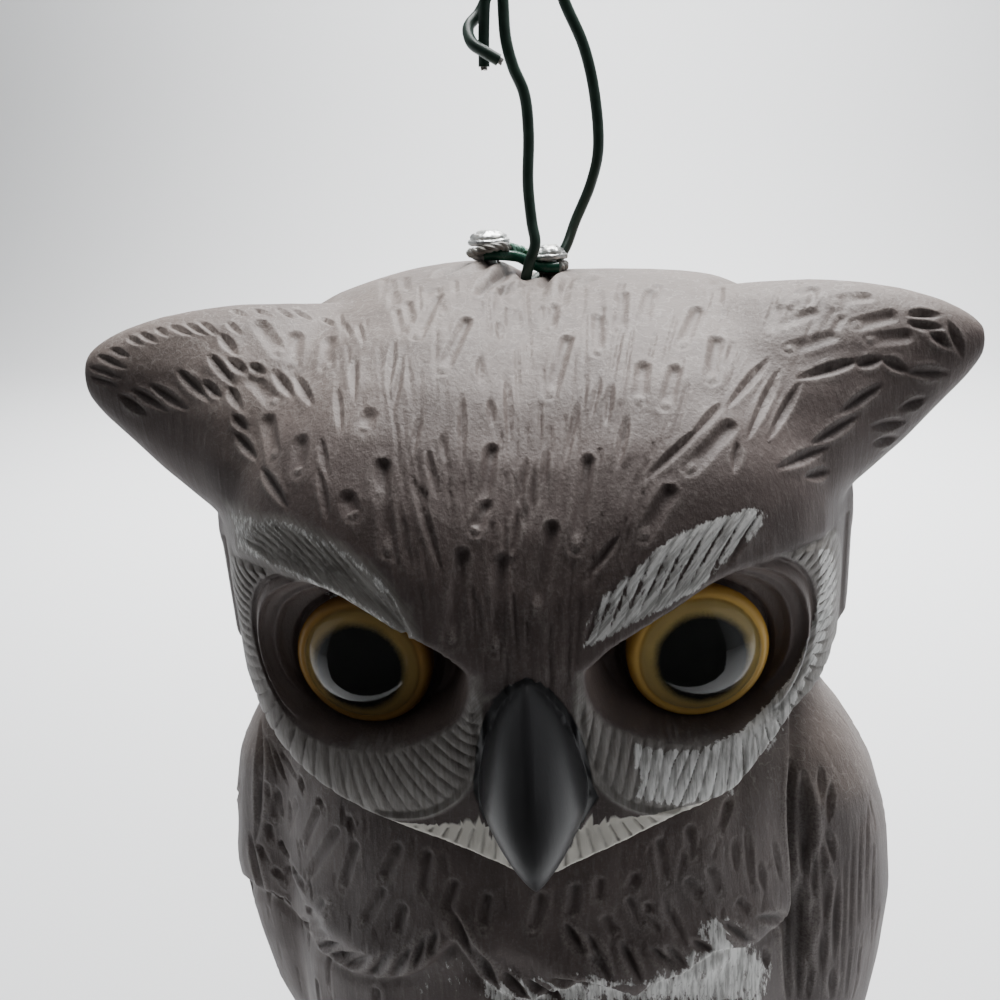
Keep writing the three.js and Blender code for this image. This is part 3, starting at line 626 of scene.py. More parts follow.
def facing_axis(angle, height, slack=0.3):
    """The place on the skin at this angle round the upright axis and this height in millimetres."""
    outward = Vector((math.sin(angle), -math.cos(angle), 0))
    start = outward * slack + Vector((0, 0, height * MM))
    return skin_tree.ray_cast(start, -outward)[0]


MARK_STEP = 6 * MM
LONGEST_MARK = 60 * MM


def seen_line(x0, y0, x1, y1):
    """The line on the skin between two places in the picture, in steps short enough to follow it."""
    start, end = seen_at(x0, y0), seen_at(x1, y1)
    if start is None or end is None or (end - start).length > LONGEST_MARK:
        return None
    count = max(2, math.ceil((end - start).length / MARK_STEP) + 1)
    places = [
        seen_at(x0 + (x1 - x0) * i / (count - 1), y0 + (y1 - y0) * i / (count - 1)) for i in range(count)
    ]
    return [place for place in places if place is not None]


print("middle of the picture falls on", [round(x, 3) for x in seen_at(500, 500)])

# %% Shape of a mark


def along_line(points, line):
    """Distance of points from a line of places, and how far along it they are, from 0 to 1."""
    corners = np.array(line)
    lengths = np.linalg.norm(np.diff(corners, axis=0), axis=1)
    before = np.concatenate([[0], np.cumsum(lengths)])
    nearest = np.full(len(points), 1e9)
    place = np.zeros(len(points))
    for i, length in enumerate(lengths):
        step = corners[i + 1] - corners[i]
        share = np.clip((points - corners[i]) @ step / max(length, 1e-9) ** 2, 0, 1)
        distance = np.linalg.norm(points - corners[i] - share[:, None] * step, axis=1)
        closer = distance < nearest
        nearest[closer] = distance[closer]
        place[closer] = ((before[i] + share * length) / before[-1])[closer]
    return nearest, place


def leaf_mark(across, along):
    """A cut that is widest and deepest above its middle. Gives depth and rise as shares of its depth."""
    swell = np.sin(math.pi * np.clip(along, 0.02, 0.98) ** 0.8) ** 0.7
    side = across / (0.3 + 0.7 * swell)
    depth = swell * np.clip(1 - np.abs(side), 0, 1) ** 1.15
    rise = 0.22 * swell * hump(side, 1.3, 0.45)
    return depth, rise


def dent_mark(across, along):
    """A soft round-ended trough with a pit at its upper end and a pearl of plastic at its lower end."""
    trough = (0.9 - 0.3 * along) * np.clip(1 - across**2, 0, 1) ** 1.25
    pit = 0.2 * hump(across, 0, 0.55) * hump(along, 0.05, 0.13)
    pearl = hump(across, 0, 0.6) * hump(along, 0.97, 0.13)
    rise = 0.14 * hump(across, 1.25, 0.32) + 0.34 * pearl
    return trough * (1 - 0.9 * pearl) + pit, rise


def streak_mark(across, along):
    """A shallow scratch with soft sides that starts sharply and fades out."""
    fade = ramp(along, 0.0, 0.12) * (1 - ramp(along, 0.35, 1.0))
    return fade * np.exp(-(across * 1.5) ** 2), 0.3 * fade * hump(across, 1.3, 0.5)


def ridge_mark(across, along):
    """No cut at all, but a soft fold that stands up from the skin."""
    swell = np.sin(math.pi * np.clip(along, 0.05, 0.95)) ** 0.6
    return np.zeros(len(across)), swell * np.clip(1 - across**2, 0, 1) ** 1.5


def carve(points, normals, marks):
    """Depth and rise in metres at each point, for marks of (line, half width, depth, shape)."""
    order = np.argsort(points[:, 2])
    heights = points[order, 2]
    depth = np.zeros(len(points))
    rise = np.zeros(len(points))
    for line, half_width, deep, shape in marks:
        corners = np.array(line)
        reach = half_width * 1.9
        low, high = corners.min(0) - reach, corners.max(0) + reach
        slab = order[np.searchsorted(heights, low[2]):np.searchsorted(heights, high[2])]
        spots = points[slab]
        near = slab[((spots > low) & (spots < high)).all(1)]
        if len(near) == 0 or len(line) < 2:
            continue
        distance, along = along_line(points[near], line)
        mark_depth, mark_rise = shape(distance / half_width, along)
        depth[near] = np.maximum(depth[near], mark_depth * deep)
        rise[near] = np.maximum(rise[near], mark_rise * deep)
    return depth, rise


print("a dent is deepest at", float(dent_mark(np.zeros(1), np.zeros(1))[0][0]), "of its depth")

# %% Marks that the picture shows
marks = []


def seen_marks(rows, half_width, depth, shape):
    """Adds the marks of rows of upper and lower ends in the picture. Sizes are in millimetres."""
    found = 0
    for row in rows:
        line = seen_line(*row)
        if line is not None and len(line) > 1:
            marks.append((line, half_width * MM, depth * MM, shape))
            found += 1
    return found


def halfway_rows(rows):
    """A row half way between each two of these."""
    return [tuple((a + b) / 2 for a, b in zip(first, second)) for first, second in zip(rows, rows[1:])]


LEFT_EAR_NICKS = [
    (111, 349, 129, 357), (98, 356, 127, 369), (90, 367, 123, 379), (92, 377, 117, 386),
    (127, 337, 143, 345), (139, 333, 158, 343), (156, 328, 168, 336), (170, 326, 194, 336),
    (186, 324, 209, 336), (200, 322, 219, 336), (227, 322, 241, 335), (231, 310, 247, 316),
    (253, 309, 272, 316), (276, 308, 296, 320), (292, 309, 313, 321), (321, 318, 335, 326),
    (343, 322, 351, 339), (358, 324, 364, 345),
]
LEFT_EAR_CUTS = [
    (121, 396, 147, 414), (133, 390, 168, 410), (151, 386, 188, 410), (178, 371, 211, 402),
    (202, 382, 221, 398), (209, 355, 235, 386), (227, 359, 249, 375), (221, 335, 237, 355),
    (229, 388, 241, 410), (233, 416, 247, 431), (237, 435, 256, 459), (262, 469, 288, 508),
    (274, 371, 294, 398), (296, 377, 313, 406), (249, 365, 266, 375),
]
LEFT_EAR_DENTS = [
    (260, 325, 280, 353), (296, 337, 292, 365), (329, 341, 327, 367), (253, 379, 274, 402),
    (268, 422, 274, 455), (300, 443, 298, 471), (368, 416, 364, 428), (382, 467, 380, 492),
    (347, 500, 353, 514),
]
LEFT_EAR_STREAKS = [
    (353, 361, 354, 398), (337, 386, 341, 435), (321, 439, 327, 479), (319, 469, 329, 526),
]
FOREHEAD_DENTS = [
    (437, 296, 417, 337), (466, 321, 442, 371), (567, 339, 550, 395), (598, 316, 598, 353),
    (554, 306, 549, 329), (383, 467, 388, 552), (492, 451, 482, 506), (587, 462, 576, 548),
    (552, 529, 535, 612), (462, 556, 451, 641), (502, 562, 494, 648), (485, 506, 475, 530),
]
FOREHEAD_STREAKS = [
    (499, 321, 501, 342), (413, 477, 442, 576), (428, 451, 438, 501), (420, 485, 427, 510),
    (442, 434, 445, 464), (462, 393, 462, 472), (480, 357, 480, 385), (507, 377, 511, 456),
    (527, 459, 516, 510), (534, 467, 531, 530), (548, 444, 538, 515), (580, 398, 561, 477),
    (600, 377, 591, 418), (355, 357, 354, 403), (394, 342, 388, 398), (402, 357, 392, 418),
    (420, 413, 411, 459), (619, 536, 582, 584), (490, 398, 493, 428), (519, 510, 511, 561),
]
RIGHT_DENTS = [
    (717, 341, 711, 380), (643, 367, 639, 401), (675, 370, 666, 406), (698, 310, 682, 346),
    (622, 294, 619, 331), (651, 291, 643, 320), (729, 427, 690, 469), (669, 493, 644, 535),
]
RIGHT_STREAKS = [
    (768, 359, 726, 409), (721, 404, 692, 438), (698, 430, 643, 482), (738, 443, 734, 474),
    (779, 370, 747, 440), (800, 383, 768, 440), (611, 383, 606, 427), (627, 417, 617, 469),
]
RIGHT_EAR_CUTS = [
    (857, 361, 797, 379), (857, 365, 883, 359), (883, 359, 909, 372), (909, 372, 949, 373),
    (881, 386, 839, 414), (857, 417, 810, 446), (826, 448, 776, 469), (925, 399, 899, 409),
    (904, 422, 870, 427), (896, 438, 873, 443), (828, 472, 805, 477), (949, 323, 962, 357),
    (928, 331, 954, 349), (909, 323, 943, 329), (908, 314, 941, 315),
]
RIGHT_EAR_LEAVES = [
    (813, 312, 772, 327), (832, 336, 789, 349), (906, 336, 870, 340), (891, 316, 856, 325),
    (866, 297, 836, 301), (930, 293, 896, 291), (870, 281, 836, 281), (813, 290, 787, 295),
]
LEFT_BREAST_DENTS = [
    (267, 785, 268, 797), (278, 792, 275, 821), (297, 804, 290, 826), (318, 811, 305, 845),
    (337, 831, 310, 875), (349, 819, 355, 833), (356, 845, 344, 887), (383, 891, 364, 923),
    (404, 908, 398, 933), (399, 848, 383, 879), (428, 855, 424, 896), (325, 901, 310, 925),
    (292, 867, 288, 881), (301, 780, 305, 791), (320, 802, 324, 809), (280, 797, 283, 817),
    (291, 806, 290, 827), (270, 827, 273, 840), (283, 843, 293, 860), (263, 847, 270, 860),
    (297, 870, 310, 887), (279, 869, 290, 877), (313, 908, 333, 898), (309, 921, 330, 914),
    (455, 884, 447, 912), (488, 898, 484, 925), (541, 897, 533, 930), (576, 888, 573, 916),
]
LEFT_BREAST_STREAKS = [
    (263, 729, 279, 780), (269, 736, 291, 790), (279, 748, 303, 785), (344, 804, 344, 826),
]
RIGHT_BREAST_DENTS = [
    (727, 804, 718, 832), (689, 830, 694, 858), (659, 843, 666, 882), (635, 877, 632, 886),
    (688, 882, 701, 897), (710, 870, 720, 892), (599, 882, 599, 899), (629, 901, 645, 925),
    (648, 907, 649, 913), (738, 902, 747, 910), (606, 919, 616, 932),
]
RIGHT_BREAST_STREAKS = [
    (733, 838, 735, 871), (744, 825, 750, 890), (756, 860, 761, 890), (662, 897, 684, 942),
    (642, 912, 662, 932), (768, 836, 777, 882), (787, 767, 787, 804),
]
LEFT_RUFF_TUFTS = [
    (284, 894, 296, 906), (298, 918, 318, 933), (320, 945, 344, 940), (330, 953, 371, 950),
    (349, 962, 376, 952), (372, 973, 395, 947), (395, 969, 419, 940), (416, 963, 431, 925),
    (431, 950, 439, 925), (274, 889, 284, 901),
]
MIDDLE_RUFF_TUFTS = [
    (453, 908, 478, 964), (482, 950, 502, 988), (473, 938, 497, 991), (502, 967, 531, 998),
    (526, 976, 562, 1000), (553, 974, 599, 986),
]
RIGHT_RUFF_TUFTS = [
    (719, 919, 753, 943), (752, 915, 788, 915), (564, 923, 586, 953), (586, 951, 612, 977),
    (586, 932, 610, 973), (621, 942, 640, 977), (649, 946, 679, 967), (664, 943, 686, 966),
    (690, 938, 710, 948), (764, 949, 768, 968),
]
RIGHT_WING_GROOVES = [
    (820, 767, 822, 801), (831, 784, 828, 823), (806, 814, 815, 853), (816, 845, 813, 899),
    (826, 828, 834, 862), (809, 951, 807, 999), (813, 899, 813, 936), (823, 930, 821, 975),
    (838, 880, 834, 960), (832, 968, 831, 999), (828, 870, 824, 925), (822, 840, 823, 900),
]
RIGHT_WING_LINES = [
    (845, 850, 841, 985), (853, 832, 849, 960), (861, 812, 858, 935), (868, 800, 866, 900),
    (874, 835, 871, 950), (851, 940, 845, 999), (862, 930, 856, 990),
]
LEFT_BROW_FLUTES = [  # lower and upper ends
    (420, 655, 384, 588), (413, 645, 365, 572), (404, 634, 347, 556), (393, 624, 329, 544),
    (381, 615, 312, 535), (367, 606, 296, 529), (353, 598, 283, 524), (339, 591, 269, 520),
    (325, 585, 260, 524), (311, 578, 253, 527), (296, 571, 248, 532), (281, 565, 244, 538),
]
RIGHT_BROW_FLUTES = [
    (586, 643, 601, 599), (596, 638, 617, 581), (609, 632, 636, 565), (624, 623, 655, 551),
    (639, 615, 675, 540), (655, 606, 694, 528), (671, 597, 714, 519), (689, 587, 733, 512),
    (710, 576, 749, 508), (728, 565, 763, 508),
]
CROWN_FOLDS = [(477, 294, 512, 267), (436, 277, 464, 265), (541, 287, 557, 270), (500, 294, 512, 280)]
CROWN_RIDGES = [
    (486, 287, 501, 264), (549, 298, 561, 273), (462, 272, 494, 262), (504, 288, 520, 283),
    (575, 284, 596, 276),
]
HOLE_MIDDLE = (5.4, 0.6)
WING_EDGE = [(789, 762, 790, 884), (790, 870, 788, 1000), (802, 775, 806, 880), (800, 880, 798, 995)]
LEFT_WING_EDGE = [(262, 722, 258, 842), (252, 832, 270, 905), (268, 900, 284, 990)]
SEEN_MARKS = [  # rows of ends, half width, depth, shape
    (CROWN_FOLDS, 3.0, 2.4, leaf_mark),
    (CROWN_RIDGES, 3.2, 1.7, ridge_mark),
    (WING_EDGE, 3.2, 3.4, leaf_mark),
    (LEFT_WING_EDGE, 2.4, 1.6, leaf_mark),
    (LEFT_EAR_NICKS, 1.15, 0.85, leaf_mark),
    (LEFT_EAR_CUTS, 1.6, 1.3, leaf_mark),
    (LEFT_EAR_DENTS, 2.3, 0.9, dent_mark),
    (LEFT_EAR_STREAKS, 1.2, 0.9, leaf_mark),
    (FOREHEAD_DENTS, 1.95, 1.15, dent_mark),
    (FOREHEAD_STREAKS, 1.2, 0.95, leaf_mark),
    (RIGHT_DENTS, 2.1, 1.05, dent_mark),
    (RIGHT_STREAKS, 1.35, 1.15, leaf_mark),
    (RIGHT_EAR_CUTS, 1.6, 1.35, leaf_mark),
    (RIGHT_EAR_LEAVES, 2.0, 0.8, dent_mark),
    (LEFT_BREAST_DENTS, 1.9, 1.15, dent_mark),
    (LEFT_BREAST_STREAKS, 1.3, 1.0, leaf_mark),
    (RIGHT_BREAST_DENTS, 1.8, 1.0, dent_mark),
    (RIGHT_BREAST_STREAKS, 1.5, 1.1, leaf_mark),
    (LEFT_RUFF_TUFTS, 1.9, 2.1, leaf_mark),
    (MIDDLE_RUFF_TUFTS, 2.1, 2.2, leaf_mark),
    (RIGHT_RUFF_TUFTS, 1.8, 1.9, leaf_mark),
    (RIGHT_WING_GROOVES, 1.7, 1.3, leaf_mark),
    (LEFT_BROW_FLUTES, 1.0, 1.15, leaf_mark),
    (halfway_rows(LEFT_BROW_FLUTES), 0.9, 0.9, leaf_mark),
    (RIGHT_BROW_FLUTES, 1.15, 0.9, leaf_mark),
    (halfway_rows(RIGHT_BROW_FLUTES), 0.8, 0.5, leaf_mark),
    (RIGHT_WING_LINES, 1.0, 0.55, leaf_mark),
]
found = [seen_marks(*group) for group in SEEN_MARKS]
for across_mm, reach_mm in ((3.6, 1.6), (5.0, -0.6)):
    pit = [head_point(across_mm, reach_mm, 0.5), head_point(across_mm + 2.6, reach_mm - 0.4, 0.5)]
    marks.append((pit, 2.4 * MM, 3.2 * MM, leaf_mark))
print("marks found on the skin:", sum(found), found)

# %% [markdown]
# Between those there are hundreds of finer scratches, all lying the way that the feathers would. On
# the forehead they run from the crown down to the beak. They are scattered from a seed. The sides that
# the picture doesn't show are cut in the same manner, but plainer: rows of scallops on the back and
# the upper wings, and long quills below them.

# %% Marks that are scattered
chance = random.Random(12)


def forehead_flow(px, py):
    """How far to the right the scratches go for each step down, at a place in the picture."""
    return (0.42 if px < 530 else 0.95) * (530 - px) / (900 - py)


def above_brows(px, py):
    """Whether a place in the picture is on the forehead, above the lips of the brows."""
    aside = abs(px - 510)
    brow = 500 + 0.75 * max(0, 430 - aside * 2.2) - 170
    return py <= brow + 150 - aside * 0.55


def behind_chin(line):
    return head_places(np.array(line))[1].max() < 88


def scatter(count, area, lengths, flow, sway, widths, depths, shape, allowed=None, fits=None):
    """Adds marks at chance places in an area of the picture. Widths and depths are in millimetres."""
    for _ in range(count):
        px, py = chance.uniform(*area[0]), chance.uniform(*area[1])
        if allowed and not allowed(px, py):
            continue
        length = chance.uniform(*lengths)
        lean = flow(px, py) + chance.uniform(-sway, sway)
        line = seen_line(px, py, px + lean * length, py + length)
        if line is not None and len(line) > 1 and (fits is None or fits(line)):
            marks.append((line, chance.uniform(*widths) * MM, chance.uniform(*depths) * MM, shape))


FOREHEAD_SCRATCHES = 300
CROWN_DENTS = 34
BREAST_SCRATCHES = 150
FOREHEAD_AREA = ((335, 830), (276, 655))
CROWN_AREA = ((380, 880), (278, 318))
BREAST_AREA = ((262, 800), (800, 990))
scatter(FOREHEAD_SCRATCHES, FOREHEAD_AREA, (22, 100), forehead_flow, 0.06, (0.45, 1.0), (0.15, 0.5),
        streak_mark, allowed=above_brows)
scatter(CROWN_DENTS, CROWN_AREA, (12, 26), lambda px, py: (530 - px) / 700, 0.2, (1.2, 2.0), (0.4, 0.8),
        dent_mark)
scatter(BREAST_SCRATCHES, BREAST_AREA, (12, 40), lambda px, py: (500 - px) / 900, 0.15, (0.5, 1.1),
        (0.15, 0.45), streak_mark, fits=behind_chin)


def facing_line(turns, heights):
    """A line on the skin through places given by their angle round the owl and their height."""
    places = [facing_axis(turn, height) for turn, height in zip(turns, heights)]
    return [place for place in places if place is not None]


SCALLOP_STEPS = 8


def scallop(turn, height, half_turn, length):
    """The rounded lower edge of a feather, as a line that hangs down in its middle."""
    shares = [2 * i / SCALLOP_STEPS - 1 for i in range(SCALLOP_STEPS + 1)]
    turns = [turn + half_turn * x for x in shares]
    return facing_line(turns, [height - length * (1 - x * x) for x in shares])


def in_view(place, slack=2 * MM):
    """Whether the camera sees this place on the skin."""
    hit = skin_tree.ray_cast(CAMERA_PLACE, (place - CAMERA_PLACE).normalized())[0]
    return hit is not None and (hit - place).length < slack


def staggered(start, span, i, row, count, sway):
    """The angle of a mark in a row. Every other row is set on by half a mark."""
    return start + span * (i + 0.5 * (row % 2)) / count + chance.uniform(-sway, sway)


BACK_ROWS = range(292, 150, -20)
BACK_COLUMNS = 17
for row, height in enumerate(BACK_ROWS):
    for i in range(BACK_COLUMNS):
        turn = staggered(math.pi / 2 - 0.35, math.pi + 0.7, i, row, BACK_COLUMNS, 0.03)
        line = scallop(turn, height + chance.uniform(-3, 3), 0.105, chance.uniform(11, 16))
        if len(line) > SCALLOP_STEPS / 2 and not in_view(line[len(line) // 2]):
            marks.append((line, 1.5 * MM, chance.uniform(0.7, 1.1) * MM, leaf_mark))
        shaft = facing_line([turn, turn], [height + 6, height - 9])
        if len(shaft) > 1:
            marks.append((shaft, 1.0 * MM, 0.4 * MM, streak_mark))

QUILLS = 44
QUILL_TOPS = (120, 152)
QUILL_FOOT = 62
for i in range(QUILLS):
    turn = math.pi / 2 - 0.3 + (math.pi + 0.6) * (i + chance.uniform(0.2, 0.8)) / QUILLS
    top = chance.uniform(*QUILL_TOPS)
    heights = [top - (top - QUILL_FOOT) * k / 4 for k in range(5)]
    line = facing_line([turn + 0.02 * k for k in range(5)], heights)
    if len(line) > 2:
        marks.append((line, 1.6 * MM, chance.uniform(0.7, 1.2) * MM, leaf_mark))

BELLY_ROWS = range(232, 90, -17)
BELLY_COLUMNS = 9
for row, height in enumerate(BELLY_ROWS):
    for i in range(BELLY_COLUMNS):
        turn = staggered(-0.95, 1.9, i, row, BELLY_COLUMNS, 0.04)
        line = facing_line([turn, turn], [height, height - chance.uniform(9, 14)])
        if len(line) > 1:
            marks.append((line, chance.uniform(1.4, 2.0) * MM, chance.uniform(0.7, 1.1) * MM, dent_mark))

HEAD_BACK_ROWS = range(418, 318, -15)
HEAD_BACK_COLUMNS = 15
for row, height in enumerate(HEAD_BACK_ROWS):
    for i in range(HEAD_BACK_COLUMNS):
        turn = staggered(math.pi / 2 + 0.15, math.pi - 0.3, i, row, HEAD_BACK_COLUMNS, 0.05)
        line = facing_line([turn, turn], [height, height - chance.uniform(8, 13)])
        if len(line) > 1 and (line[-1] - line[0]).length < 0.03:
            marks.append((line, chance.uniform(1.2, 1.8) * MM, chance.uniform(0.6, 1.0) * MM, leaf_mark))
print("marks in all:", len(marks))

# %% Places in the picture


def in_picture(points):
    """Where points are seen in the picture, in thousandths of its width."""
    local = (points - np.array(CAMERA_PLACE)) @ np.array(aim)
    return PICTURE / 2 - local[:, 0] / local[:, 2] * FOCUS, PICTURE / 2 + local[:, 1] / local[:, 2] * FOCUS


def inside_outline(px, py, outline):
    """Distance inwards from an outline of corners in the picture, negative outside it."""
    corners = np.array(outline, float)
    inside = np.zeros(len(px), bool)
    nearest = np.full(len(px), 1e9)
    for (x0, y0), (x1, y1) in zip(corners, np.roll(corners, -1, axis=0)):
        run, fall = x1 - x0, y1 - y0
        inside ^= ((y0 > py) != (y1 > py)) & (px < run * (py - y0) / (fall or 1e-9) + x0)
        share = np.clip(((px - x0) * run + (py - y0) * fall) / (run**2 + fall**2), 0, 1)
        nearest = np.minimum(nearest, np.hypot(px - x0 - share * run, py - y0 - share * fall))
    return np.where(inside, nearest, -nearest)


def facing_camera(points, normals):
    return ((np.array(CAMERA_PLACE) - points) * normals).sum(1) > 0


RUFF = [  # the ruff of feathers that hangs over the belly, its lower edge first
    (240, 872), (262, 888), (282, 897), (308, 923), (319, 949), (342, 965), (355, 973), (387, 978),
    (413, 974), (431, 965), (447, 948), (457, 940), (467, 955), (480, 975), (500, 992), (530, 1000),
    (560, 988), (587, 981), (599, 984), (636, 995), (651, 984), (681, 974), (690, 968), (712, 952),
    (744, 946), (757, 940), (777, 922), (789, 914), (789, 640), (150, 640), (150, 860),
]
RUFF_STEP = 1.7 * MM
RUFF_TOP = 345 * MM

# %% Press the marks into the skin
points = points_of(shell)
normals = normals_of(shell)
depth, rise = carve(points, normals, marks)
px, py = in_picture(points)
ruff_depth = inside_outline(px, py, RUFF)
across, reach, drop = head_places(points)
below_head = facing_camera(points, normals) & (points[:, 2] < RUFF_TOP) & (drop > chin_at(across))
ruff_lift = RUFF_STEP * ramp(ruff_depth, -2, 5) * (1 - 0.85 * ramp(ruff_depth, 12, 60)) * below_head
ruff_cut = 0.8 * MM * hump(ruff_depth, -4, 5) * below_head
points -= normals * (depth - rise - ruff_lift + ruff_cut)[:, None]
put_points(shell, points)


def keep_on_skin(name, values):
    """Stores one number for each point of the skin, for the finish to read."""
    layer = shell.data.attributes.new(name, "FLOAT", "POINT")
    layer.data.foreach_set("value", values.astype(np.float32))


across, reach, drop = head_places(points)
in_face = (reach > 30) & (drop > lip_at(across) + 1) & (drop < chin_at(across) + 0.5)
distance, degrees = round_the_eye(across, drop)
rim = read_table(SOCKET_RIM, degrees)[0]
edge = np.maximum(read_table(DISC_EDGE, degrees)[0], rim + 0.5)
cut = flutes(disc_count(across, drop)) * (distance > rim + 0.5) * (distance < edge - 0.5) * in_face
chin_cut = flutes(chin_count(across, drop)) * chin_band(across, drop) * in_face
keep_on_skin("groove", np.maximum.reduce([np.clip(depth / (1.5 * MM), 0, 1), cut, chin_cut]))
height = points[:, 2] / MM
# painted light: the skin that faces up on the crown, on the top of the left ear and on the shoulders is
# marked here, and the finish makes it a paler brown, as if lit from above
lit_tops = ramp(normals[:, 2], 0.4, 1.0) * ramp(height, 378, 429)
lit_ear_top = 0.7 * ramp(normals[:, 2], 0.1, 0.7) * ramp(-across, 52, 66) * ramp(height, 345, 380)
lit_shoulders = ramp(normals[:, 2], 0.05, 0.5) * ramp(height, 225, 262) * (1 - ramp(height, 300, 320))
lit_shoulders = lit_shoulders * (np.abs(points[:, 0]) > 50 * MM)
keep_on_skin("lit_tops", np.maximum.reduce([lit_tops, 0.85 * lit_shoulders, lit_ear_top]))
# painted shade: the hole in the crown is marked so that the finish paints it black, for the shade inside the
# hollow shell
hole = np.hypot(across - HOLE_MIDDLE[0], reach - HOLE_MIDDLE[1])
keep_on_skin("hole", (1 - ramp(hole, 2.6, 4.2)) * (drop < 8))
# painted light: the walls of the sockets, less on their two crests, are marked for a brown paler than the
# shell's, which lightens them where the brows shade them
crest = hump(distance / rim, 0.9, 0.035) + hump(distance / rim, 0.76, 0.035)
crest = crest * (np.abs(across) > EYE_ACROSS - 12)
keep_on_skin("socket", in_face * (1 - ramp(distance, rim - 1.5, rim)) * (1 - 0.55 * np.clip(crest, 0, 1)))
half, _ = read_table(BEAK_OUTLINE, drop)
inside_beak = np.where((drop > 77) & (drop < 135) & (reach > 80), half - np.abs(across), -9)
keep_on_skin("beak", 0.5 + np.clip(inside_beak + 0.6, -2, 2) / 4)
band_top = read_table(CHIN_BAND_TOP, across)[0]
below_band = ramp(drop, band_top - 0.6, band_top + 0.6) * (1 - ramp(np.abs(across), 44, 52))
below_band = below_band * (reach > 60) * (drop < chin_at(across) + 0.3)
keep_on_skin("chin", below_band * 0.9)

LEFT_BROW_PAINT = [
    (226, 503), (257, 516), (285, 517), (319, 533), (347, 549), (370, 565), (391, 588), (407, 616),
    (422, 652), (434, 672), (422, 664), (402, 652), (372, 632), (340, 608), (303, 583), (262, 563),
    (236, 553),
]
RIGHT_BROW_PAINT = [
    (582, 650), (588, 618), (602, 595), (641, 563), (664, 542), (687, 530), (714, 517), (735, 511),
    (756, 505), (768, 517), (753, 540), (724, 566), (701, 589), (669, 607), (632, 626), (609, 638),
]
RIGHT_DISC_PAINT = [
    (634, 742), (632, 760), (643, 780), (636, 799), (678, 806), (731, 795), (779, 739), (797, 698),
    (815, 664), (832, 618), (836, 583), (832, 549), (818, 549), (820, 576), (818, 609), (808, 641),
    (793, 676), (772, 700), (742, 731), (701, 750), (659, 750),
]
BELLY_PAINT = [
    (470, 952), (500, 968), (560, 972), (600, 968), (640, 978), (672, 960), (690, 938), (712, 920),
    (726, 916), (744, 930), (775, 960), (776, 1010), (600, 1010), (480, 1010),
]
RIGHT_RUFF_PAINT = [
    (700, 915), (726, 912), (757, 930), (750, 950), (716, 948), (692, 935),
]
LEFT_RUFF_PAINT = [
    (425, 960), (455, 945), (470, 955), (480, 985), (470, 1010), (380, 1010), (400, 985),
]
PAINTED = [  # cover, softness of the border, outline in the picture
    (0.52, 7, LEFT_BROW_PAINT),
    (0.8, 9, RIGHT_BROW_PAINT),
    (1.05, 9, RIGHT_DISC_PAINT),
    (0.64, 22, BELLY_PAINT),
    (0.62, 14, RIGHT_RUFF_PAINT),
    (0.36, 14, LEFT_RUFF_PAINT),
]
px, py = in_picture(points)
brush = np.zeros(len(points))
for cover, softness, outline in PAINTED:
    brush = np.maximum(brush, cover * ramp(inside_outline(px, py, outline), -softness, softness))
on_a_disc = in_face * ramp(distance, rim - 0.5, rim + 1) * (1 - ramp(distance, edge + 0.5, edge + 2))
crests = np.abs(np.sin(math.pi * disc_count(across, drop))) ** 9
brush = brush * facing_camera(points, normals) * (reach > 20)
for i in np.flatnonzero(brush > 0.01):
    if not in_view(Vector(points[i]), 3 * MM):
        brush[i] = 0
left_brow = 1.6 * brush * (across < 0) * (drop < lip_at(across) + 2)
keep_on_skin("brush", brush)
# partly painted light: the pale dust on the discs is made strongest on the flute crests, for edges that catch
# the light; on the left brow it is brushed paint
disc_dust_and_crest_light = (0.6 + 0.4 * crests) * on_a_disc * (1 - 0.3 * ramp(-across, 52, 66))
keep_on_skin("dust_and_crest_light", np.maximum(disc_dust_and_crest_light, left_brow))
keep_on_skin("raised", np.clip(rise / (0.3 * MM), 0, 1))
print("deepest mark:", round(float(depth.max() / MM), 2), "mm, marks:", len(marks))

# %% Thin the skin
SKIN_TRIANGLES = 198_000
FOLD_ANGLE = math.radians(95)
FOLD_ROUNDS = 6


def folded_points(piece):
    """The points of faces that fold back on a neighbour."""
    mesh = piece.data
    directions = values_of(mesh.polygons, "normal")
    totals = values_of(mesh.polygons, "loop_total", np.int32, 1)
    edges = values_of(mesh.loops, "edge_index", np.int32, 1)
    corners = values_of(mesh.loops, "vertex_index", np.int32, 1)
    faces = np.repeat(np.arange(len(totals)), totals)
    order = np.argsort(edges, kind="stable")
    first, second = order[:-1], order[1:]
    meet = edges[first] == edges[second]
    agreement = (directions[faces[first]] * directions[faces[second]]).sum(1)
    folded = meet & (agreement < math.cos(FOLD_ANGLE))
    bad = np.unique(np.concatenate([faces[first][folded], faces[second][folded]]))
    return np.unique(corners[np.isin(faces, bad)])


def unfold(piece):
    """Smooths the skin where it folds back on itself, a few times, and nowhere else."""
    counts = []
    for _ in range(FOLD_ROUNDS):
        folded = folded_points(piece)
        counts.append(len(folded))
        if len(folded) == 0:
            break
        weights = np.zeros(len(piece.data.vertices))
        weights[folded] = 1
        weight_group(piece, "folded", weights)
        apply_modifier(piece, "SMOOTH", factor=0.6, iterations=3, vertex_group="folded")
        piece.vertex_groups.clear()
    print("points at folds, round by round:", counts)


def triangles_of(piece):
    return sum(len(face.vertices) - 2 for face in piece.data.polygons)


before = triangles_of(shell)
unfold(shell)
apply_modifier(shell, "DECIMATE", ratio=SKIN_TRIANGLES / before)
unfold(shell)
bpy.ops.object.shade_smooth()
print("triangles:", before, "to", triangles_of(shell))

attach(shell, "root")
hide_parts("owl_shell")

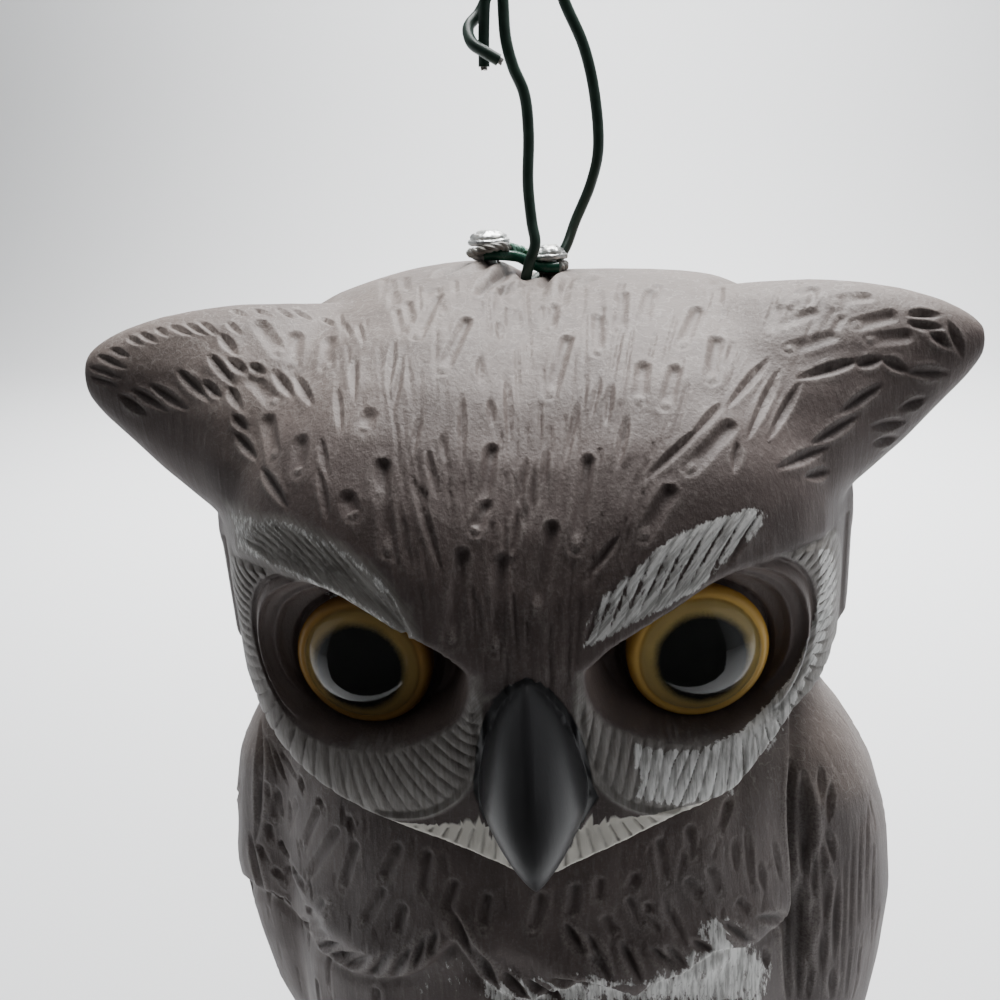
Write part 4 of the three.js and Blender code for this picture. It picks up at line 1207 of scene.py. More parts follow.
# %% [markdown]
# The finishes come next. Every one of them has a fine unevenness and most have a paint or a dirt that
# ends in a ragged line, so these two effects are node groups, built once: one gives a soft speckle at
# a chosen grain, the other turns a smooth measure of how much paint there is into a torn mask.

# %% Node groups


def feed(tree, socket, value):
    """Links a socket to another node's output, or sets its value."""
    if isinstance(value, bpy.types.NodeSocket):
        tree.links.new(value, socket)
    else:
        socket.default_value = value


def math_node(tree, operation, *values):
    made = tree.nodes.new("ShaderNodeMath")
    made.operation = operation
    for socket, value in zip(made.inputs, values):
        feed(tree, socket, value)
    return made.outputs[0]


def multiply(tree, first, second):
    return math_node(tree, "MULTIPLY", first, second)


def multiply_add(tree, value, factor, added):
    return math_node(tree, "MULTIPLY_ADD", value, factor, added)


def subtract(tree, first, second):
    return math_node(tree, "SUBTRACT", first, second)


def vector_node(tree, operation, *values):
    made = tree.nodes.new("ShaderNodeVectorMath")
    made.operation = operation
    for socket, value in zip(made.inputs, values):
        feed(tree, socket, value)
    return made.outputs


def ramp_node(tree, value, low, high):
    """0 below low, 1 above high, with a smooth rise."""
    made = tree.nodes.new("ShaderNodeMapRange")
    made.interpolation_type = "SMOOTHSTEP"
    for name, given in (("Value", value), ("From Min", low), ("From Max", high)):
        feed(tree, made.inputs[name], given)
    return made.outputs["Result"]


def mix_colours(tree, share, first, second):
    made = tree.nodes.new("ShaderNodeMix")
    made.data_type = "RGBA"
    feed(tree, made.inputs["Factor"], share)
    # a Mix node has an A and a B for every type of data
    for name, value in (("A", first), ("B", second)):
        feed(tree, [s for s in made.inputs if s.name == name and s.type == "RGBA"][0], value)
    return [s for s in made.outputs if s.type == "RGBA"][0]


def mix_values(tree, share, first, second):
    """first where share is 0, second where it is 1."""
    difference = subtract(tree, second, first)
    return multiply_add(tree, share, difference, first)


def node_group(name, inputs, outputs):
    """A shader node group with number inputs [(name, value)] and number outputs [name]."""
    tree = bpy.data.node_groups.new(name, "ShaderNodeTree")
    for title, value in inputs:
        socket = tree.interface.new_socket(name=title, in_out="INPUT", socket_type="NodeSocketFloat")
        socket.default_value = value
    for title in outputs:
        tree.interface.new_socket(name=title, in_out="OUTPUT", socket_type="NodeSocketFloat")
    start = tree.nodes.new("NodeGroupInput")
    end = tree.nodes.new("NodeGroupOutput")
    return tree, start.outputs, end.inputs


def noise(tree, scale, detail=2.0, roughness=0.5, seed=0.0, stretch=None):
    """A noise value on Object coordinates. Scale is in waves per metre."""
    place = tree.nodes.new("ShaderNodeTexCoord").outputs["Object"]
    shift = tree.nodes.new("ShaderNodeMapping")
    shift.inputs["Location"].default_value = (seed, seed * 0.7, -seed)
    if stretch is not None:
        shift.inputs["Scale"].default_value = stretch
    tree.links.new(place, shift.inputs["Vector"])
    made = tree.nodes.new("ShaderNodeTexNoise")
    tree.links.new(shift.outputs[0], made.inputs["Vector"])
    for name, value in (("Scale", scale), ("Detail", detail), ("Roughness", roughness)):
        feed(tree, made.inputs[name], value)
    return made.outputs["Fac"]


speckle, given, result = node_group("fine_speckle", [("Grain", 900.0), ("Patches", 60.0)], ["Fine", "Broad"])
speckle.links.new(noise(speckle, given["Grain"], detail=3.0, roughness=0.65), result["Fine"])
speckle.links.new(noise(speckle, given["Patches"], detail=3.0, roughness=0.55, seed=3.0), result["Broad"])

TORN_INPUTS = [("Cover", 0.0), ("Grain", 420.0), ("Raggedness", 0.6)]
torn, given, result = node_group("torn_paint", TORN_INPUTS, ["Mask"])
coarse = noise(torn, given["Grain"], detail=4.0, roughness=0.7, seed=5.0, stretch=(1, 1, 0.4))
lifted = multiply_add(torn, subtract(torn, coarse, 0.5), given["Raggedness"], given["Cover"])
torn.links.new(ramp_node(torn, lifted, 0.42, 0.58), result["Mask"])
print("node groups:", [group.name for group in bpy.data.node_groups])


def group_node(tree, group, **values):
    made = tree.nodes.new("ShaderNodeGroup")
    made.node_tree = group
    for name, value in values.items():
        feed(tree, made.inputs[name], value)
    return made


def bump(tree, shader, height, distance, strength=1.0):
    made = tree.nodes.new("ShaderNodeBump")
    made.inputs["Strength"].default_value = strength
    made.inputs["Distance"].default_value = distance
    tree.links.new(height, made.inputs["Height"])
    tree.links.new(made.outputs["Normal"], shader["Normal"])


def kept(tree, name):
    """The number that was stored for each point of the skin."""
    made = tree.nodes.new("ShaderNodeAttribute")
    made.attribute_name = name
    return made.outputs["Fac"]


# %% [markdown]
# The plastic is a dull purplish brown right through, sprayed and brushed on top: a cool silver on the
# brows and the discs, a warmer pale band on the chin and satin black on the beak. The brush only
# touches what stands up, so paint is missing in the bottoms of the grooves, and dirt has stayed there
# instead. Light and shade are painted in as well: a paler brown where the skin faces up, a paler brown
# in the sockets where the brows shade them, pale dust made strongest on the flute crests where they
# catch the light, and black in the crown's hole for the shade inside it.

# %% Plastic
BROWN = (0.106, 0.081, 0.075, 1)
BROWN_DEEP = (0.074, 0.055, 0.051, 1)
# painted light: the paler brown of the tops that face up
LIT_TOP_BROWN = (0.205, 0.170, 0.148, 1)
# pale dust, also used as painted light on the crests of the disc flutes
DUST = (0.37, 0.36, 0.335, 1)
WORN = (0.30, 0.27, 0.25, 1)
DIRT = (0.022, 0.016, 0.015, 1)
SILVER = (0.80, 0.80, 0.78, 1)
SILVER_THIN = (0.36, 0.355, 0.34, 1)
PALE_BAND = (0.78, 0.75, 0.67, 1)
# painted light: a brown paler than the shell's, for the shaded sockets
SOCKET_LIT_BROWN = (0.14, 0.11, 0.10, 1)
BEAK_BLACK = (0.022, 0.022, 0.024, 1)
# painted shade: the black inside the crown's hole
HOLE_SHADE_BLACK = (0.006, 0.005, 0.005, 1)

plastic, tree, shader = new_finish("moulded_plastic")
speck = group_node(tree, speckle, Grain=1300.0, Patches=45.0)
fine, broad = speck.outputs["Fine"], speck.outputs["Broad"]
groove, raised = kept(tree, "groove"), kept(tree, "raised")
colour = mix_colours(tree, ramp_node(tree, broad, 0.35, 0.65), BROWN_DEEP, BROWN)
brushed = noise(tree, 620.0, detail=4.0, roughness=0.65, seed=2.0, stretch=(1, 1, 0.09))
# painted light: the tops that face up are mixed towards a paler brown, as if lit from above; the pale veins
# are kept to the same tops
lit_tops = kept(tree, "lit_tops")
lit_top_share = multiply(tree, lit_tops, multiply_add(tree, broad, 0.8, 0.2))
colour = mix_colours(tree, lit_top_share, colour, LIT_TOP_BROWN)
veins = math_node(tree, "ABSOLUTE", subtract(tree, noise(tree, 210.0, detail=2.5, seed=11.0), 0.5))
veins = multiply(tree, subtract(tree, 1.0, ramp_node(tree, veins, 0.004, 0.022)), lit_tops)
colour = mix_colours(tree, multiply(tree, veins, 0.5), colour, WORN)
rubbed = multiply(tree, raised, ramp_node(tree, fine, 0.3, 0.6))
colour = mix_colours(tree, multiply(tree, rubbed, 0.42), colour, WORN)
pale_specks = multiply(tree, ramp_node(tree, fine, 0.5, 0.75), 0.16)
pale_specks = multiply_add(tree, ramp_node(tree, brushed, 0.52, 0.7), 0.16, pale_specks)
colour = mix_colours(tree, pale_specks, colour, WORN)
dark_streaks = multiply(tree, subtract(tree, 1.0, ramp_node(tree, brushed, 0.3, 0.46)), 0.35)
colour = mix_colours(tree, dark_streaks, colour, BROWN_DEEP)
colour = mix_colours(tree, multiply(tree, ramp_node(tree, groove, 0.3, 1.0), 0.34), colour, DIRT)
# painted shade: the hole in the crown is painted black
colour = mix_colours(tree, kept(tree, "hole"), colour, HOLE_SHADE_BLACK)

# painted light: the sockets are mixed towards a paler brown, which lightens them where the brows shade them
lit_socket = kept(tree, "socket")
colour = mix_colours(tree, lit_socket, colour, SOCKET_LIT_BROWN)
brush = multiply_add(tree, groove, -0.8, kept(tree, "brush"))
silvered = group_node(tree, torn, Cover=brush, Grain=800.0, Raggedness=0.85).outputs["Mask"]


def stroke_noise(tree, scale, brow_foot, lean, stretch):
    """A noise that is drawn out along the brush strokes: upright below, leaning outwards on the brows."""
    place = tree.nodes.new("ShaderNodeTexCoord").outputs["Object"]
    split = tree.nodes.new("ShaderNodeSeparateXYZ")
    tree.links.new(place, split.inputs[0])
    outwards = math_node(tree, "ABSOLUTE", split.outputs["X"])
    above = math_node(tree, "MAXIMUM", subtract(tree, split.outputs["Z"], brow_foot), 0.0)
    joined = tree.nodes.new("ShaderNodeCombineXYZ")
    tree.links.new(multiply_add(tree, above, -lean, outwards), joined.inputs["X"])
    tree.links.new(multiply(tree, split.outputs["Y"], 0.3), joined.inputs["Y"])
    tree.links.new(multiply(tree, split.outputs["Z"], stretch), joined.inputs["Z"])
    made = tree.nodes.new("ShaderNodeTexNoise")
    tree.links.new(joined.outputs[0], made.inputs["Vector"])
    made.inputs["Scale"].default_value = scale
    made.inputs["Detail"].default_value = 3.0
    made.inputs["Roughness"].default_value = 0.6
    return made.outputs["Fac"]


strokes = stroke_noise(tree, 900.0, 0.338, 0.85, 0.12)
streaky = ramp_node(tree, strokes, 0.34, 0.62)
# partly painted light: dust on the discs and the left brow, made strongest on the flute crests for edges that
# catch the light
dusted_and_lit = multiply(tree, kept(tree, "dust_and_crest_light"), mix_values(tree, streaky, 0.55, 1.0))
colour = mix_colours(tree, dusted_and_lit, colour, DUST)
brush = multiply_add(tree, subtract(tree, strokes, 0.5), 0.9, brush)
silver = mix_colours(tree, streaky, SILVER_THIN, SILVER)
colour = mix_colours(tree, silvered, colour, silver)
band = multiply_add(tree, groove, -0.08, kept(tree, "chin"))
banded = group_node(tree, torn, Cover=band, Grain=500.0, Raggedness=0.2).outputs["Mask"]
band_colour = mix_colours(tree, multiply(tree, groove, 0.6), PALE_BAND, DUST)
colour = mix_colours(tree, multiply(tree, banded, 0.92), colour, band_colour)
blackened = group_node(tree, torn, Cover=kept(tree, "beak"), Grain=300.0, Raggedness=0.25).outputs["Mask"]
colour = mix_colours(tree, blackened, colour, BEAK_BLACK)
tree.links.new(colour, shader["Base Color"])

dull = multiply_add(tree, fine, 0.25, 0.46)
dull = mix_values(tree, blackened, dull, multiply_add(tree, fine, 0.12, 0.32))
tree.links.new(dull, shader["Roughness"])
shader["Specular IOR Level"].default_value = 0.42
grain = multiply_add(tree, brushed, 2.4, fine)
grain = multiply(tree, grain, multiply_add(tree, blackened, -0.85, 1.0))
grain = multiply_add(tree, silvered, 0.5, grain)
bump(tree, shader, grain, 0.13 * MM, 0.75)
shell.data.materials.append(plastic)
print("plastic nodes:", len(tree.nodes))

# %% [markdown]
# An eye is two mouldings: an amber disc with a soft-edged black pupil sprayed on it, and a clear dome
# over that. The dome is what makes it look alive: it magnifies the pupil and carries the bright
# crescent that the pale floor throws into it. Both are turned shapes, so each is one profile spun
# round its axis. The amber reaches a little way into the dome's foot, so that no film of air is left
# between them to shine like a mirror.

# %% Amber discs and clear domes
EYE_SEAT = 75
EYE_SPLAY = math.radians(8)
AMBER_PROFILE = [
    (0, 0), (17.0, 0), (17.4, 0.3), (17.5, 1.2), (17.5, 2.8), (17.4, 3.4), (17.0, 4.05), (16.4, 4.6),
    (15.8, 4.88), (15.4, 4.9), (0, 4.9),
]
DOME_RADIUS = 15.2
DOME_FOOT = 4.7
DOME_RISE = 7.5
TURNING_STEPS = 96
PUPIL_BLACK = (0.012, 0.013, 0.012, 1)
WELD = 0.001 * MM


def turned(name, profile, steps=TURNING_STEPS):
    """A shape turned on the upright axis from (radius, height) rows that start and end on the axis."""
    mesh = bpy.data.meshes.new(name)
    piece = bpy.data.objects.new(name, mesh)
    corners = [(radius * MM, 0, height * MM) for radius, height in profile]
    mesh.from_pydata(corners, [(i, i + 1) for i in range(len(corners) - 1)], [])
    bpy.context.scene.collection.objects.link(piece)
    with editing(piece):
        bpy.ops.mesh.spin(steps=steps, angle=2 * math.pi, center=(0, 0, 0), axis=(0, 0, 1))
        bpy.ops.mesh.select_all(action="SELECT")
        bpy.ops.mesh.remove_doubles(threshold=WELD)
        bpy.ops.mesh.normals_make_consistent(inside=False)
    bpy.ops.object.shade_smooth_by_angle(angle=math.radians(35))
    return piece


def place_for_good(piece, matrix, node, finish):
    """Puts the piece's place into its mesh, gives it its finish and lets it stand for a CAD node."""
    piece.data.materials.append(finish)
    piece.data.transform(matrix)
    piece.data.update()
    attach(piece, "root")
    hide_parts(node)


def eye_frame(side):
    """The frame of an eye: its axis looks forwards, splayed a little outwards."""
    seat = Matrix.Translation((side * EYE_ACROSS * MM, -EYE_SEAT * MM, -EYE_DROP * MM))
    splayed = HEAD_FRAME @ seat @ Matrix.Rotation(side * EYE_SPLAY, 4, "Z")
    return splayed @ Matrix.Rotation(math.pi / 2, 4, "X")


DOME_STEPS = 16
DOME_CURVE = (DOME_RADIUS**2 + DOME_RISE**2) / (2 * DOME_RISE)
dome_profile = [(0, DOME_FOOT - 0.2), (DOME_RADIUS - 0.2, DOME_FOOT - 0.2)]
for i in range(DOME_STEPS + 1):
    lean = math.asin(DOME_RADIUS / DOME_CURVE) * (1 - i / DOME_STEPS)
    fall = DOME_CURVE * (1 - math.cos(lean))
    dome_profile.append((DOME_CURVE * math.sin(lean), DOME_FOOT + DOME_RISE - fall))


def amber_finish(name, side, rim, middle, lit_ring):
    """Amber plastic, darker at its rim, with a paler ring round the sprayed pupil that is painted light."""
    material, tree, shader = new_finish(name)
    axis = eye_frame(side).to_3x3() @ Vector((0, 0, 1))
    centre = eye_frame(side).to_translation()
    place = tree.nodes.new("ShaderNodeTexCoord").outputs["Object"]
    away = vector_node(tree, "SUBTRACT", place, centre)[0]
    turn = vector_node(tree, "CROSS_PRODUCT", away, axis.normalized())[0]
    radius = math_node(tree, "DIVIDE", vector_node(tree, "LENGTH", turn)["Value"], MM)
    mottle = group_node(tree, speckle, Grain=2200.0, Patches=180.0)
    radius = multiply_add(tree, subtract(tree, mottle.outputs["Broad"], 0.5), 0.9, radius)
    # painted light: the amber under the dome is made paler, to make up for light that the clear dome holds
    # back
    colour = mix_colours(tree, ramp_node(tree, radius, 13.6, 15.4), lit_ring, middle)
    colour = mix_colours(tree, ramp_node(tree, radius, 15.6, 17.6), colour, rim)
    speckled = multiply_add(tree, subtract(tree, mottle.outputs["Fine"], 0.5), 1.1, radius)
    pupil = subtract(tree, 1.0, ramp_node(tree, speckled, 9.2, 12.2))
    colour = mix_colours(tree, pupil, colour, PUPIL_BLACK)
    tree.links.new(colour, shader["Base Color"])
    tree.links.new(multiply_add(tree, mottle.outputs["Fine"], 0.12, 0.14), shader["Roughness"])
    shader["Specular IOR Level"].default_value = 0.0
    shader["Coat Roughness"].default_value = 0.08
    tree.links.new(multiply(tree, ramp_node(tree, radius, 13.8, 14.6), 0.8), shader["Coat Weight"])
    bump(tree, shader, mottle.outputs["Fine"], 0.03 * MM, 0.3)
    return material


clear, tree, shader = new_finish("clear_dome")
shader["Base Color"].default_value = (0.97, 0.98, 0.97, 1)
shader["Transmission Weight"].default_value = 1.0
shader["IOR"].default_value = 1.47
scuffs = group_node(tree, speckle, Grain=1800.0, Patches=240.0)
scuffed = multiply(tree, ramp_node(tree, scuffs.outputs["Broad"], 0.5, 0.8), 0.08)
tree.links.new(scuffed, shader["Roughness"])

# painted light and shade: the left eye's ambers are darker copies of the right eye's, for the shade that it
# lies in, and the right eye's are brightened for the light on it
LIT_AND_SHADED_AMBERS = {  # rim, middle and the paler ring round the pupil, which is painted light
    "left_eye": ((0.24, 0.12, 0.024, 1), (0.42, 0.24, 0.065, 1), (0.66, 0.47, 0.17, 1)),
    "right_eye": ((0.62, 0.34, 0.06, 1), (0.86, 0.55, 0.15, 1), (0.94, 0.72, 0.29, 1)),
}
for side, name in ((-1, "left_eye"), (1, "right_eye")):
    disc = turned(name + "_amber", AMBER_PROFILE)
    amber = amber_finish(name + "_amber", side, *LIT_AND_SHADED_AMBERS[name])
    place_for_good(disc, eye_frame(side), name, amber)
    dome = turned(name + "_dome", dome_profile)
    bpy.ops.object.shade_smooth()
    place_for_good(dome, eye_frame(side), name, clear)

# %% [markdown]
# Two screws stand a little proud of the crown. Their zinc coat is dipped, so it is thick, dull and
# lumpy: each head is a turned dome, pushed in and out by noise.

# %% Screws
from mathutils import noise as lumps

SCREWS = [  # CAD node, across, back, underside of the head, width of the head as a share, lumps, seed
    ("left_screw", -9.4, 0, 10.2, 1.0, 0.55, 11),
    ("right_screw", 7.9, 2, 4.9, 0.88, 0.7, 29),
]
HEAD_PROFILE = [
    (2.1, 0), (5.5, -0.02), (6.05, 0.3), (6.15, 0.9), (5.95, 1.35), (5.5, 1.62), (5.25, 1.8),
    (5.35, 2.1), (5.1, 2.55), (4.6, 3.0), (3.9, 3.3), (3.55, 3.38), (3.3, 3.6), (2.6, 3.88),
    (1.3, 4.05), (0, 4.08),
]
SHANK_FOOT = -13
NECK_RADIUS = 2.1
SCREW_TOP = 4.15
SCREW_WIDEST = 6.18

zinc, tree, shader = new_finish("dipped_zinc")
patch = group_node(tree, speckle, Grain=1500.0, Patches=320.0)
stain = ramp_node(tree, patch.outputs["Broad"], 0.5, 0.72)
colour = mix_colours(tree, stain, (0.62, 0.63, 0.62, 1), (0.36, 0.35, 0.31, 1))
tree.links.new(colour, shader["Base Color"])
tree.links.new(mix_values(tree, stain, 1.0, 0.35), shader["Metallic"])
tree.links.new(multiply_add(tree, patch.outputs["Broad"], 0.5, 0.08), shader["Roughness"])
bump(tree, shader, patch.outputs["Fine"], 0.05 * MM, 0.6)


def lumpy(piece, height, size, seed):
    """Pushes the points of a piece in and out along their normals. Height and size are in metres."""
    points, normals = points_of(piece), normals_of(piece)
    shift = Vector((seed, -seed, seed * 0.5))
    push = np.array([lumps.fractal(Vector(p) / size + shift, 0.7, 2.0, 3) for p in points])
    put_points(piece, points + normals * (push * height)[:, None])


for name, across_mm, back_mm, seat, wide_share, height_mm, seed in SCREWS:
    profile = [(0, SHANK_FOOT), (1.2, SHANK_FOOT + 1.2)]
    profile += [(NECK_RADIUS, SHANK_FOOT + 3), (NECK_RADIUS, seat - 0.02)]
    for radius, rise in HEAD_PROFILE:
        profile.append((max(radius * wide_share, NECK_RADIUS * (rise == 0)), seat + rise))
    screw = turned(name + "_zinc", profile, 64)
    with editing(screw):
        bpy.ops.mesh.subdivide(number_cuts=1, smoothness=0)
    lumpy(screw, height_mm * MM * 0.5, 2.6 * MM, seed)
    points = points_of(screw)
    highest = (seat + SCREW_TOP) * MM
    points[:, 2] = np.minimum(points[:, 2], highest)
    flat = points[:, :2]
    wide = np.linalg.norm(flat, axis=1)
    points[:, :2] = flat * np.minimum(1, SCREW_WIDEST * MM / np.maximum(wide, 1e-9))[:, None]
    put_points(screw, points)
    bpy.ops.object.shade_smooth()
    stand = HEAD_FRAME @ Matrix.Translation((across_mm * MM, back_mm * MM, 0))
    place_for_good(screw, stand, name, zinc)
    print(name, "faces:", len(screw.data.polygons))

# %% [markdown]
# The wires are garden wire: a stranded core in a green coat. The hanger was bent by hand, so it has
# soft kinks, and its twisted tail shows cut ends. Each wire is a tube round a smooth curve through the
# corners of its CAD route. Only the hanger's top corner is 1.6 mm lower, because the smooth coat would
# rise past the CAD box there. The bare core is made as what it is, strands laid round each other.

# %% Curves and tubes


def smooth_route(corners, spacing):
    """Points a spacing apart, in metres, on a centripetal Catmull-Rom curve through the corners."""
    route = [Vector(c) * MM for c in corners]
    ends = [route[0] * 2 - route[1], *route, route[-1] * 2 - route[-2]]
    fine = []
    for p0, p1, p2, p3 in zip(ends, ends[1:], ends[2:], ends[3:]):
        d0, d1, d2 = (max((b - a).length, 1e-6) ** 0.5 for a, b in ((p0, p1), (p1, p2), (p2, p3)))
        leave = ((p1 - p0) / d0 - (p2 - p0) / (d0 + d1) + (p2 - p1) / d1) * d1
        arrive = ((p2 - p1) / d1 - (p3 - p1) / (d1 + d2) + (p3 - p2) / d2) * d1
        count = max(2, math.ceil((p2 - p1).length / spacing))
        for i in range(count):
            t = i / count
            fine.append(
                p1 * (2 * t**3 - 3 * t**2 + 1) + p2 * (3 * t**2 - 2 * t**3)
                + leave * (t**3 - 2 * t**2 + t) + arrive * (t**3 - t**2)
            )
    return [*fine, route[-1]]


def tube(name, routes, radius, sides=16):
    """A mesh tube with closed ends round each route, all in one piece. The curve's bevel makes it."""
    curve = bpy.data.curves.new(name, "CURVE")
    curve.dimensions = "3D"
    curve.bevel_depth = radius
    curve.bevel_resolution = max(1, sides // 4 - 1)
    curve.use_fill_caps = True
    for route in routes:
        spline = curve.splines.new("POLY")
        spline.points.add(len(route) - 1)
        for point, place in zip(spline.points, route):
            point.co = (*place, 1)
    piece = bpy.data.objects.new(name, curve)
    bpy.context.scene.collection.objects.link(piece)
    alone(piece)
    bpy.ops.object.convert(target="MESH")
    piece = bpy.context.object
    with editing(piece):
        bpy.ops.mesh.remove_doubles(threshold=WELD)
        bpy.ops.mesh.normals_make_consistent(inside=False)
    bpy.ops.object.shade_smooth_by_angle(angle=math.radians(40))
    return piece


def strands(route, count, radius, pitch, phase=0.0):
    """Routes of strands laid round a route at this radius, one turn for each pitch."""
    laid = [[] for _ in range(count)]
    side = Vector((0.3, 0.2, 1)).cross(route[1] - route[0]).normalized()
    run = 0.0
    for i, place in enumerate(route):
        ahead = (route[min(i + 1, len(route) - 1)] - route[max(i - 1, 0)]).normalized()
        side = (side - ahead * side.dot(ahead)).normalized()
        other = ahead.cross(side)
        if i:
            run += (place - route[i - 1]).length
        for k, strand in enumerate(laid):
            angle = 2 * math.pi * (run / pitch + k / count) + phase
            strand.append(place + (side * math.cos(angle) + other * math.sin(angle)) * radius)
    return laid


RING_STEPS = 16


def ring_round(screw_across, screw_back, start, rise, radius, turns):
    """Corners of a turn round a screw's neck, from the end of a wire."""
    angle = math.atan2(start[1] - screw_back, start[0] - screw_across)
    way = -1 if screw_across < 0 else 1
    corners = [start]
    for i in range(1, RING_STEPS + 1):
        a = angle + way * 2 * math.pi * turns * i / RING_STEPS
        x, y = screw_across + radius * math.cos(a), screw_back + radius * math.sin(a)
        corners.append((x, y, start[2] + rise * i / RING_STEPS))
    return corners


HANGER_ROUTE = [
    (-7.6, -0.4, 57.4), (-7.1, 0, 66.5), (-6.0, 0, 76), (-3.6, 0, 87), (1.2, 0, 93.9), (7.0, 0, 93),
    (11.2, 0, 84), (14.8, 0, 72.4), (19.8, 0, 60.6), (22.4, 0, 48), (22.9, 0.4, 33.8), (20.6, 2.5, 25),
    (16.0, 6, 15), (12.4, 9.2, 6.6), (8.4, 10.2, 2.2), (4.6, 6.6, -0.6), (2.4, 1.6, -1.8),
    (1.0, -3.2, -0.4), (2.3, -5.0, 4.8), (4.2, -4.6, 10), (3.5, -3, 15.8), (2.9, -1.5, 26.2),
    (3.7, -0.4, 40), (3.0, 0, 50), (0.3, 0, 57), (-1.3, 0.6, 64), (-1.6, 2.4, 74), (-1.8, 3.6, 83),
    (-3.6, 5.2, 89), (-6.4, 5.8, 84), (-5.6, 4.9, 77), (-8.2, 4.3, 71.5), (-11.3, 0.8, 67.6),
    (-10.2, -3.2, 63.2), (-6.4, -4.9, 60.4), (-3.2, -4.6, 58.4),
]
LINK_ROUTE = [
    (-10.6, -4.2, 7.6), (-7.5, -4.1, 7.5), (-4.0, -2.6, 7.0), (-0.6, -0.4, 6.0), (2.2, 0.2, 4.3),
    (5.2, -1.2, 3.2), (8.4, -2.4, 2.9), (10.6, -2.2, 2.9),
]
COAT_RADIUS = 1.6 * MM
STRAND_RADIUS = 0.86 * MM

# %% Green coats


def coat_finish(name, dark, light, gloss):
    material, tree, shader = new_finish(name)
    patch = group_node(tree, speckle, Grain=1400.0, Patches=260.0)
    colour = mix_colours(tree, ramp_node(tree, patch.outputs["Broad"], 0.35, 0.75), dark, light)
    tree.links.new(colour, shader["Base Color"])
    tree.links.new(multiply_add(tree, patch.outputs["Broad"], 0.25, gloss), shader["Roughness"])
    bump(tree, shader, patch.outputs["Fine"], 0.05 * MM, 0.5)
    return material


hanger_green = coat_finish("dark_green_coat", (0.010, 0.033, 0.022, 1), (0.018, 0.05, 0.034, 1), 0.32)
link_green = coat_finish("glossy_green_coat", (0.006, 0.055, 0.032, 1), (0.015, 0.10, 0.06, 1), 0.12)

hanger_route = smooth_route(HANGER_ROUTE, 0.9 * MM)
hanger = tube("hanger_coat", [hanger_route], COAT_RADIUS)
place_for_good(hanger, HEAD_FRAME, "hanger_loop", hanger_green)

link_route = smooth_route(LINK_ROUTE, 0.7 * MM)
link = tube("link_coat", [link_route], COAT_RADIUS)
place_for_good(link, HEAD_FRAME, "link_wire", link_green)
print("hanger is", round(sum((b - a).length for a, b in zip(hanger_route, hanger_route[1:])) / MM), "mm long")

# %% Bare strands
core_finish, tree, shader = new_finish("bare_strands")
patch = group_node(tree, speckle, Grain=1600.0, Patches=400.0)
stain = ramp_node(tree, patch.outputs["Broad"], 0.35, 0.65)
colour = mix_colours(tree, stain, (0.20, 0.19, 0.17, 1), (0.42, 0.42, 0.40, 1))
tree.links.new(colour, shader["Base Color"])
shader["Metallic"].default_value = 0.5
tree.links.new(multiply_add(tree, patch.outputs["Fine"], 0.3, 0.35), shader["Roughness"])
bump(tree, shader, patch.outputs["Fine"], 0.06 * MM, 0.6)

TURN_RADIUS = NECK_RADIUS + 1.2 + 0.3
left_turn = smooth_route(ring_round(-9.4, 0, LINK_ROUTE[0], 0.4, TURN_RADIUS + 0.3, 0.94), 0.35 * MM)
right_turn = smooth_route(ring_round(8.6, 2, LINK_ROUTE[-1], -0.2, TURN_RADIUS, 0.9), 0.35 * MM)
FRONT_TURN = [
    (-14.2, 1.8, 7.4), (-14.8, -1.6, 8.2), (-13.0, -4.9, 8.8), (-10.2, -6.4, 9.4), (-7.2, -6.3, 9.9),
    (-4.9, -4.7, 9.8), (-3.9, -2.4, 9.0),
]
front_turn = smooth_route(FRONT_TURN, 0.35 * MM)
laid = strands(left_turn, 3, 0.85 * MM, 8.4 * MM) + strands(right_turn, 3, 0.7 * MM, 7.2 * MM)
front_strands = strands(front_turn, 3, 0.62 * MM, 6.6 * MM)
core = tube("link_core_strands", laid, STRAND_RADIUS, 12)
place_for_good(core, HEAD_FRAME, "link_wire", core_finish)
front_core = tube("link_front_strands", front_strands, 0.68 * MM, 12)
place_for_good(front_core, HEAD_FRAME, "link_wire", core_finish)


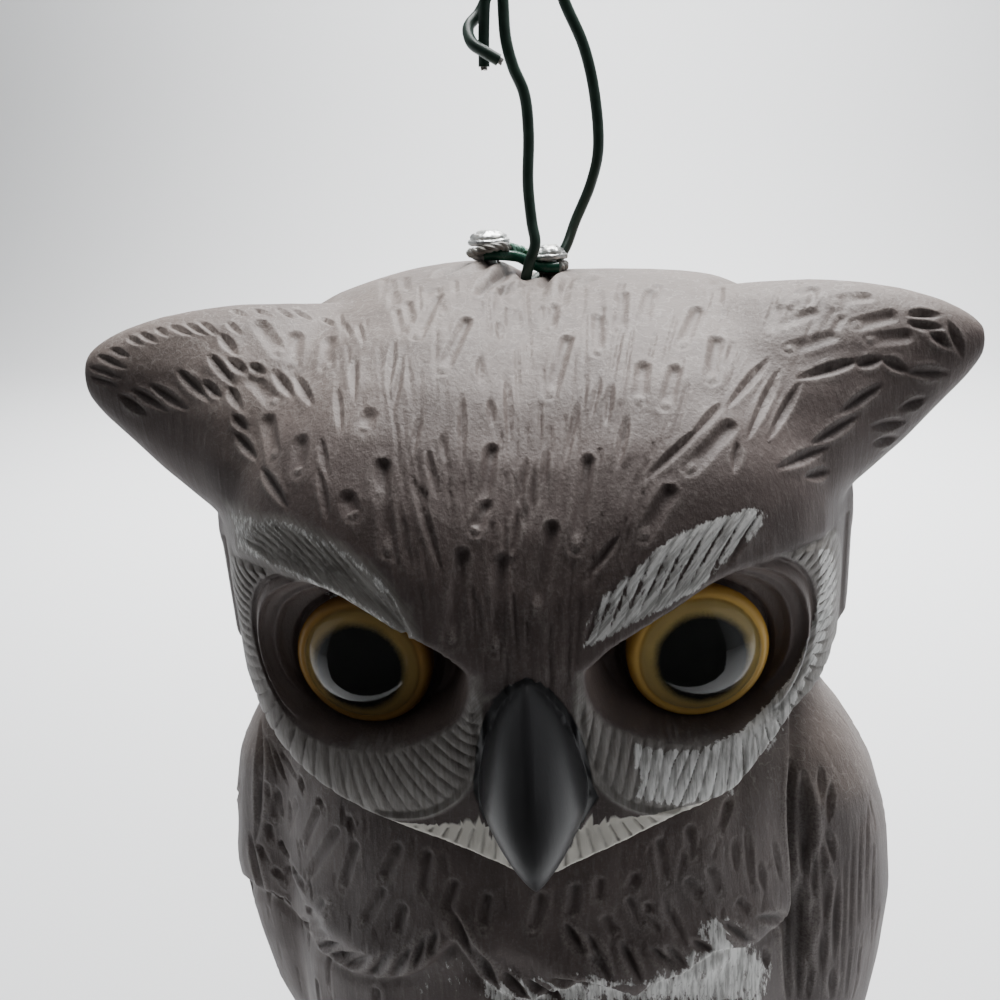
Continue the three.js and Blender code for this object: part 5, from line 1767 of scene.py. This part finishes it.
# the far end of the link's wire comes back behind it, with the coat burst open in the middle
loose_route = smooth_route([(-6.2, 3.4, 8.6), (-4.6, 3.6, 9.0), (-2.6, 3.0, 8.6)], 0.5 * MM)
burst_route = smooth_route([(-2.9, 3.1, 8.6), (-1.2, 2.7, 8.0), (0.9, 2.4, 7.2)], 0.4 * MM)
after_route = smooth_route([(0.7, 2.4, 7.2), (3.4, 1.6, 5.8), (6.0, -0.4, 5.2)], 0.5 * MM)
loose = tube("link_loose_end", [loose_route, after_route], 1.35 * MM)
bright_green = coat_finish("bright_green_coat", (0.004, 0.075, 0.02, 1), (0.01, 0.16, 0.045, 1), 0.25)
place_for_good(loose, HEAD_FRAME, "link_wire", bright_green)
burst = tube("link_burst_coat", strands(burst_route, 3, 0.7 * MM, 5 * MM), 0.8 * MM, 12)
lumpy(burst, 0.5 * MM, 1.1 * MM, 5)
pale_green = coat_finish("burst_green_coat", (0.10, 0.25, 0.18, 1), (0.42, 0.58, 0.50, 1), 0.4)
place_for_good(burst, HEAD_FRAME, "link_wire", pale_green)

dirt_rings = [
    smooth_route(ring_round(-9.4, 0, (-11.9, -1.2, 4.6), -1.2, 2.7, 0.97), 0.4 * MM),
    smooth_route(ring_round(8.6, 2, (10.9, 0.6, 2.0), -0.8, 2.7, 0.97), 0.4 * MM),
]
caked = tube("caked_dirt", dirt_rings, 1.15 * MM, 12)
lumpy(caked, 0.9 * MM, 1.6 * MM, 3)
earth = coat_finish("caked_dirt", (0.05, 0.038, 0.025, 1), (0.20, 0.17, 0.12, 1), 0.7)
place_for_good(caked, HEAD_FRAME, "link_wire", earth)


def stub(route, length):
    """A straight stub that goes on from the end of a route."""
    ahead = (route[-1] - route[-3]).normalized()
    return [route[-1] - ahead * 0.4 * MM + ahead * (length + 0.4 * MM) * i / 4 for i in range(5)]


tail_ends = [stub(hanger_route, 1.0 * MM), stub(hanger_route[::-1], 0.8 * MM)]
wires = [strand for end in tail_ends for strand in strands(end, 5, 0.62 * MM, 9 * MM)]
tails = tube("hanger_cut_strands", wires, 0.36 * MM, 8)
place_for_good(tails, HEAD_FRAME, "hanger_loop", core_finish)
print("strand faces:", len(core.data.polygons), len(tails.data.polygons))

# %% [markdown]
# The last step prints how far the box of the finished object reaches past the box of the CAD model
# on each side.

# %% Sizes and finish
low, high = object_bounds()
for side, growth in (("low", cad_low - low), ("high", high - cad_high)):
    print("grown by mm,", side, "side:", [round(x / MM, 2) for x in growth])
